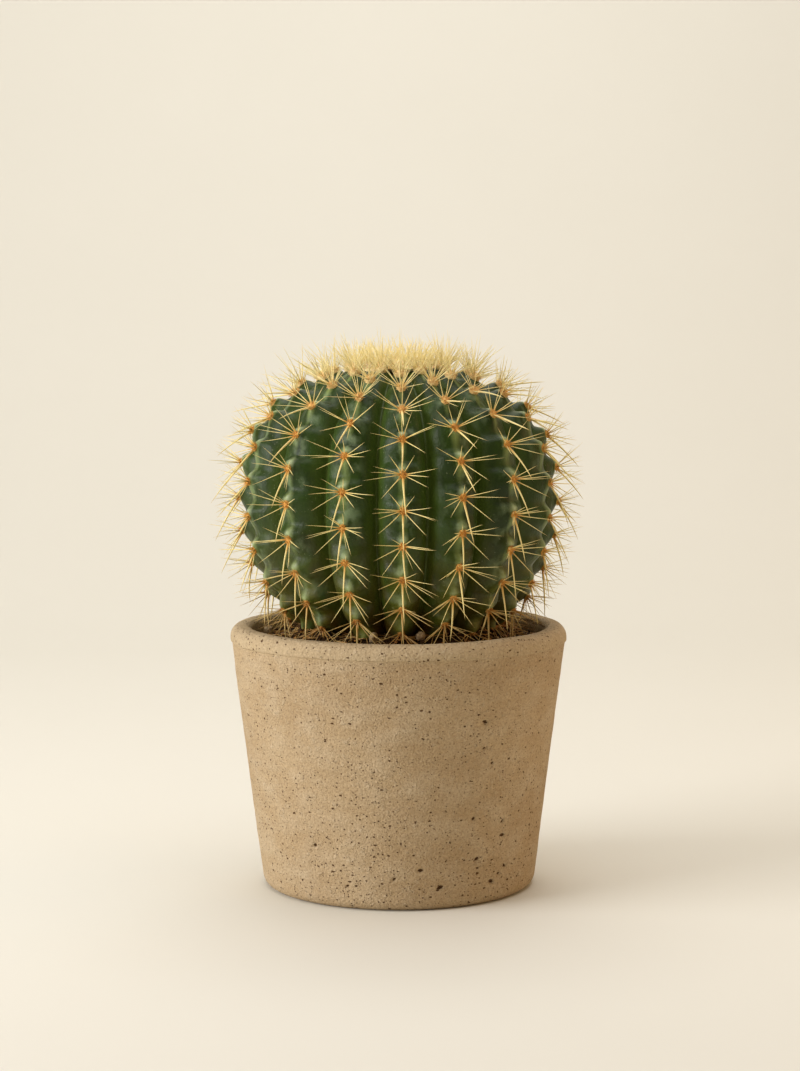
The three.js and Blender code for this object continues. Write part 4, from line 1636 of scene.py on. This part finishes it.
@dataclass
class CrownTuft:
    """Wool and the youngest spines at the growing point."""

    radius: float = 19.0
    crown: float = 216.5
    wool_height: float = 3.6
    strands: int = 1200
    strand_radii: tuple[float, ...] = (0.11, 0.11, 0.1, 0.09, 0.07, 0.02)
    spines: int = 250
    spine_sides: int = 6
    cushion_waves: tuple[Wave, ...] = (Wave(0.10, 5, 61), Wave(0.05, 2, 62))
    seed: int = 71

    def scatter(self, rng: np.random.Generator, count: int) -> np.ndarray:
        """Random points on the cushion.

        Args:
            rng: source of the points.
            count: how many there are.

        Returns:
            The points.
        """
        radius = self.radius * np.sqrt(rng.random(count))
        bearing = rng.uniform(0, FULL_TURN, count)
        share = np.clip(radius / self.radius, 0, 1)
        return around(radius, bearing, self.crown - 1.2 + self.wool_height * np.sqrt(1 - 0.95 * share**2))

    def add_cushion(self, piece: Piece) -> None:
        """Adds the lumpy cushion that the strands stand on.

        Args:
            piece: the tuft.
        """
        ball, faces = lump(subdivisions=5)
        rough = ball * (1 + ripple(ball * 15, self.cushion_waves))[:, None]
        half_width = self.radius * 0.88
        piece.add(rough * [half_width, half_width, self.wool_height] + [0, 0, self.crown - 0.8], faces)

    def add_strands(self, piece: Piece, rng: np.random.Generator) -> None:
        """Adds curly strands of wool.

        Args:
            piece: the tuft.
            rng: source of their differences.
        """
        place = self.scatter(rng, self.strands)
        tilt = rng.normal(0, 0.75, (self.strands, 3)) + [0, 0, 1]
        stations = len(self.strand_radii)
        along = np.linspace(0, 1, stations)[None, :, None]
        reach = rng.uniform(1.0, 2.4, (self.strands, 1, 1))
        curl = rng.normal(0, 0.5, (self.strands, 1, 3))
        wave = 0.2 * np.sin(along * rng.uniform(4, 9, (self.strands, 1, 1)))
        wave = wave * rng.normal(size=(self.strands, 1, 3))
        strand = unit(tilt)[:, None] * along + curl * along**2 * 0.6
        paths = place[:, None] + reach * strand + wave * along
        piece.add(*tubes(paths, np.broadcast_to(self.strand_radii, (self.strands, stations)), 3))

    def add_spines(self, piece: Piece, rng: np.random.Generator) -> None:
        """Adds the youngest spines, which stand up through the wool.

        Args:
            piece: the tuft.
            rng: source of their differences.
        """
        stations = np.linspace(0, 1, 8)
        start = self.scatter(rng, self.spines)
        outward = start * [1, 1, 0] / self.radius
        direction = unit(outward * 0.95 + rng.normal(0, 0.5, (self.spines, 3)) * [1, 1, 0.3] + [0, 0, 1])
        length = rng.uniform(6, 13, (self.spines, 1, 1))
        sway = rng.normal(0, 0.06, (self.spines, 1, 3))
        share = stations[None, :, None]
        paths = start[:, None] - [0, 0, 1.0] + length * (direction[:, None] * share + sway * share**2)
        thick = rng.uniform(0.17, 0.25, (self.spines, 1)) * (1 - stations) ** 0.6 + 0.03
        points, faces = tubes(paths, thick, self.spine_sides)
        along = np.tile(per_point(stations, self.spine_sides), self.spines)
        piece.add(points, faces, 1, along=along, youth=1.0, shade=0.0)

    def build(self, wool: bpy.types.Material, horn: bpy.types.Material) -> None:
        """Builds the tuft's cushion, strands and spines.

        Args:
            wool: finish of the cushion and strands.
            horn: finish of the spines.
        """
        rng = np.random.default_rng(self.seed)
        piece = Piece("crown_wool")
        self.add_cushion(piece)
        self.add_strands(piece, rng)
        self.add_spines(piece, rng)
        ride(piece.build([wool, horn]), Slot.WOOL, "crown_tuft")


# ---- Studio ----


@dataclass(frozen=True)
class SoftLamp:
    """A square lamp behind a diffuser: its place and edge in metres, its power in watts, and its tint."""

    name: str
    place: Place
    size: float
    power: float
    tint: str
    target: Place = (0.0, 0.0, 0.12)

    def hang(self) -> None:
        """Hangs the lamp so that it faces its target."""
        light = bpy.data.lights.new(self.name, "AREA")
        light.shape, light.size, light.energy = "SQUARE", self.size, self.power
        light.color = linear(self.tint)[:3]
        made = bpy.data.objects.new(self.name, light)
        made.location = self.place
        aim = Vector(self.target) - Vector(self.place)
        made.rotation_euler = aim.to_track_quat("-Z", "Y").to_euler()
        bpy.context.scene.collection.objects.link(made)


@dataclass
class Studio:
    """A cream paper sweep, one soft lamp from the upper left, weak fills, and the camera. In metres."""

    key: SoftLamp = SoftLamp("Key", (-1.42, -0.56, 0.56), 1.05, 24.2, "#fcfbff")
    fill: SoftLamp = SoftLamp("Fill", (1.3, 0.15, 0.4), 1.0, 4.2, "#ffca8c")
    top: SoftLamp = SoftLamp("Top", (0.0, -0.05, 1.05), 1.0, 5.6, "#fbfbff")
    backdrop: SoftLamp = SoftLamp("Backdrop", (0.0, 1.15, 1.9), 1.2, 15.4, "#fbfcff", (0.0, 1.9, 0.6))
    room_tint: str = "#ffe3c0"
    room_light: float = 0.315
    camera_place: Place = (0.0006, -1.0617, 0.24605)
    camera_pitch: float = 84.61
    lens: float = 86.08
    sensor: float = 36
    sweep_near: float = -9.0
    sweep_far: float = 1.9
    sweep_half_width: float = 3.2
    sweep_bend: float = 1.2
    sweep_top: float = 3.2

    def sweep(self, finish: bpy.types.Material) -> None:
        """Lays the floor and curves it up behind the object.

        Args:
            finish: its paper.
        """
        flat_rows, across = 12, 9
        angle = np.linspace(0, math.pi / 2, 24)[1:]
        flat_end = self.sweep_far - self.sweep_bend
        curve = flat_end + self.sweep_bend * np.sin(angle)
        depth = np.concatenate([np.linspace(self.sweep_near, flat_end, flat_rows), curve, [self.sweep_far]])
        lift = self.sweep_bend - self.sweep_bend * np.cos(angle)
        rise = np.concatenate([np.zeros(flat_rows), lift, [self.sweep_top]])
        width = np.linspace(-self.sweep_half_width, self.sweep_half_width, across)
        rows = [np.stack([width, np.full(across, y), np.full(across, z)], -1) for y, z in zip(depth, rise)]
        piece = Piece("paper_sweep")
        piece.add(np.concatenate(rows) / MM, grid_faces(len(rows), across, closed=False))
        piece.build([finish])
        LOG.info("%s: the stage", piece.name)

    def build(self, paper: bpy.types.Material) -> None:
        """Builds the sweep, the lamps, the room's own light and the camera.

        Args:
            paper: finish of the sweep.
        """
        scene = bpy.context.scene
        scene.view_settings.view_transform = "Standard"
        self.sweep(paper)
        for lamp in (self.key, self.fill, self.top, self.backdrop):
            lamp.hang()
        world = bpy.data.worlds.new("Soft_room")
        world.use_nodes = True
        room = world.node_tree.nodes["Background"]
        room.inputs["Color"].default_value = linear(self.room_tint)
        room.inputs["Strength"].default_value = self.room_light
        scene.world = world
        camera = bpy.data.cameras.new("Camera")
        camera.lens, camera.sensor_width, camera.sensor_fit = self.lens, self.sensor, "AUTO"
        made = bpy.data.objects.new("Camera", camera)
        made.location = self.camera_place
        made.rotation_euler = (math.radians(self.camera_pitch), 0, 0)
        scene.collection.objects.link(made)
        scene.camera = made


def main() -> None:
    """Builds the pieces in order."""
    logging.basicConfig(level=logging.INFO, format="%(message)s")
    horn, felt = HornSpine().make(), AreoleFelt().make()
    Studio().build(PaperSweep().make())
    ConcretePot().build(CastConcrete().make())
    soil, peat = PottingSoil(), PottingPeat().make()
    soil.build_bed(peat)
    soil.build_crumbs(peat)
    soil.build_litter(horn)
    grit = WornGrit().make()
    soil.build_grit(grit)
    GritStones().build(grit)
    CactusBody().build(WaxySkin().make())
    SpineRows().build(horn, felt)
    CrownTuft().build(CrownWool().make(), horn)


if __name__ == "__main__":
    main()
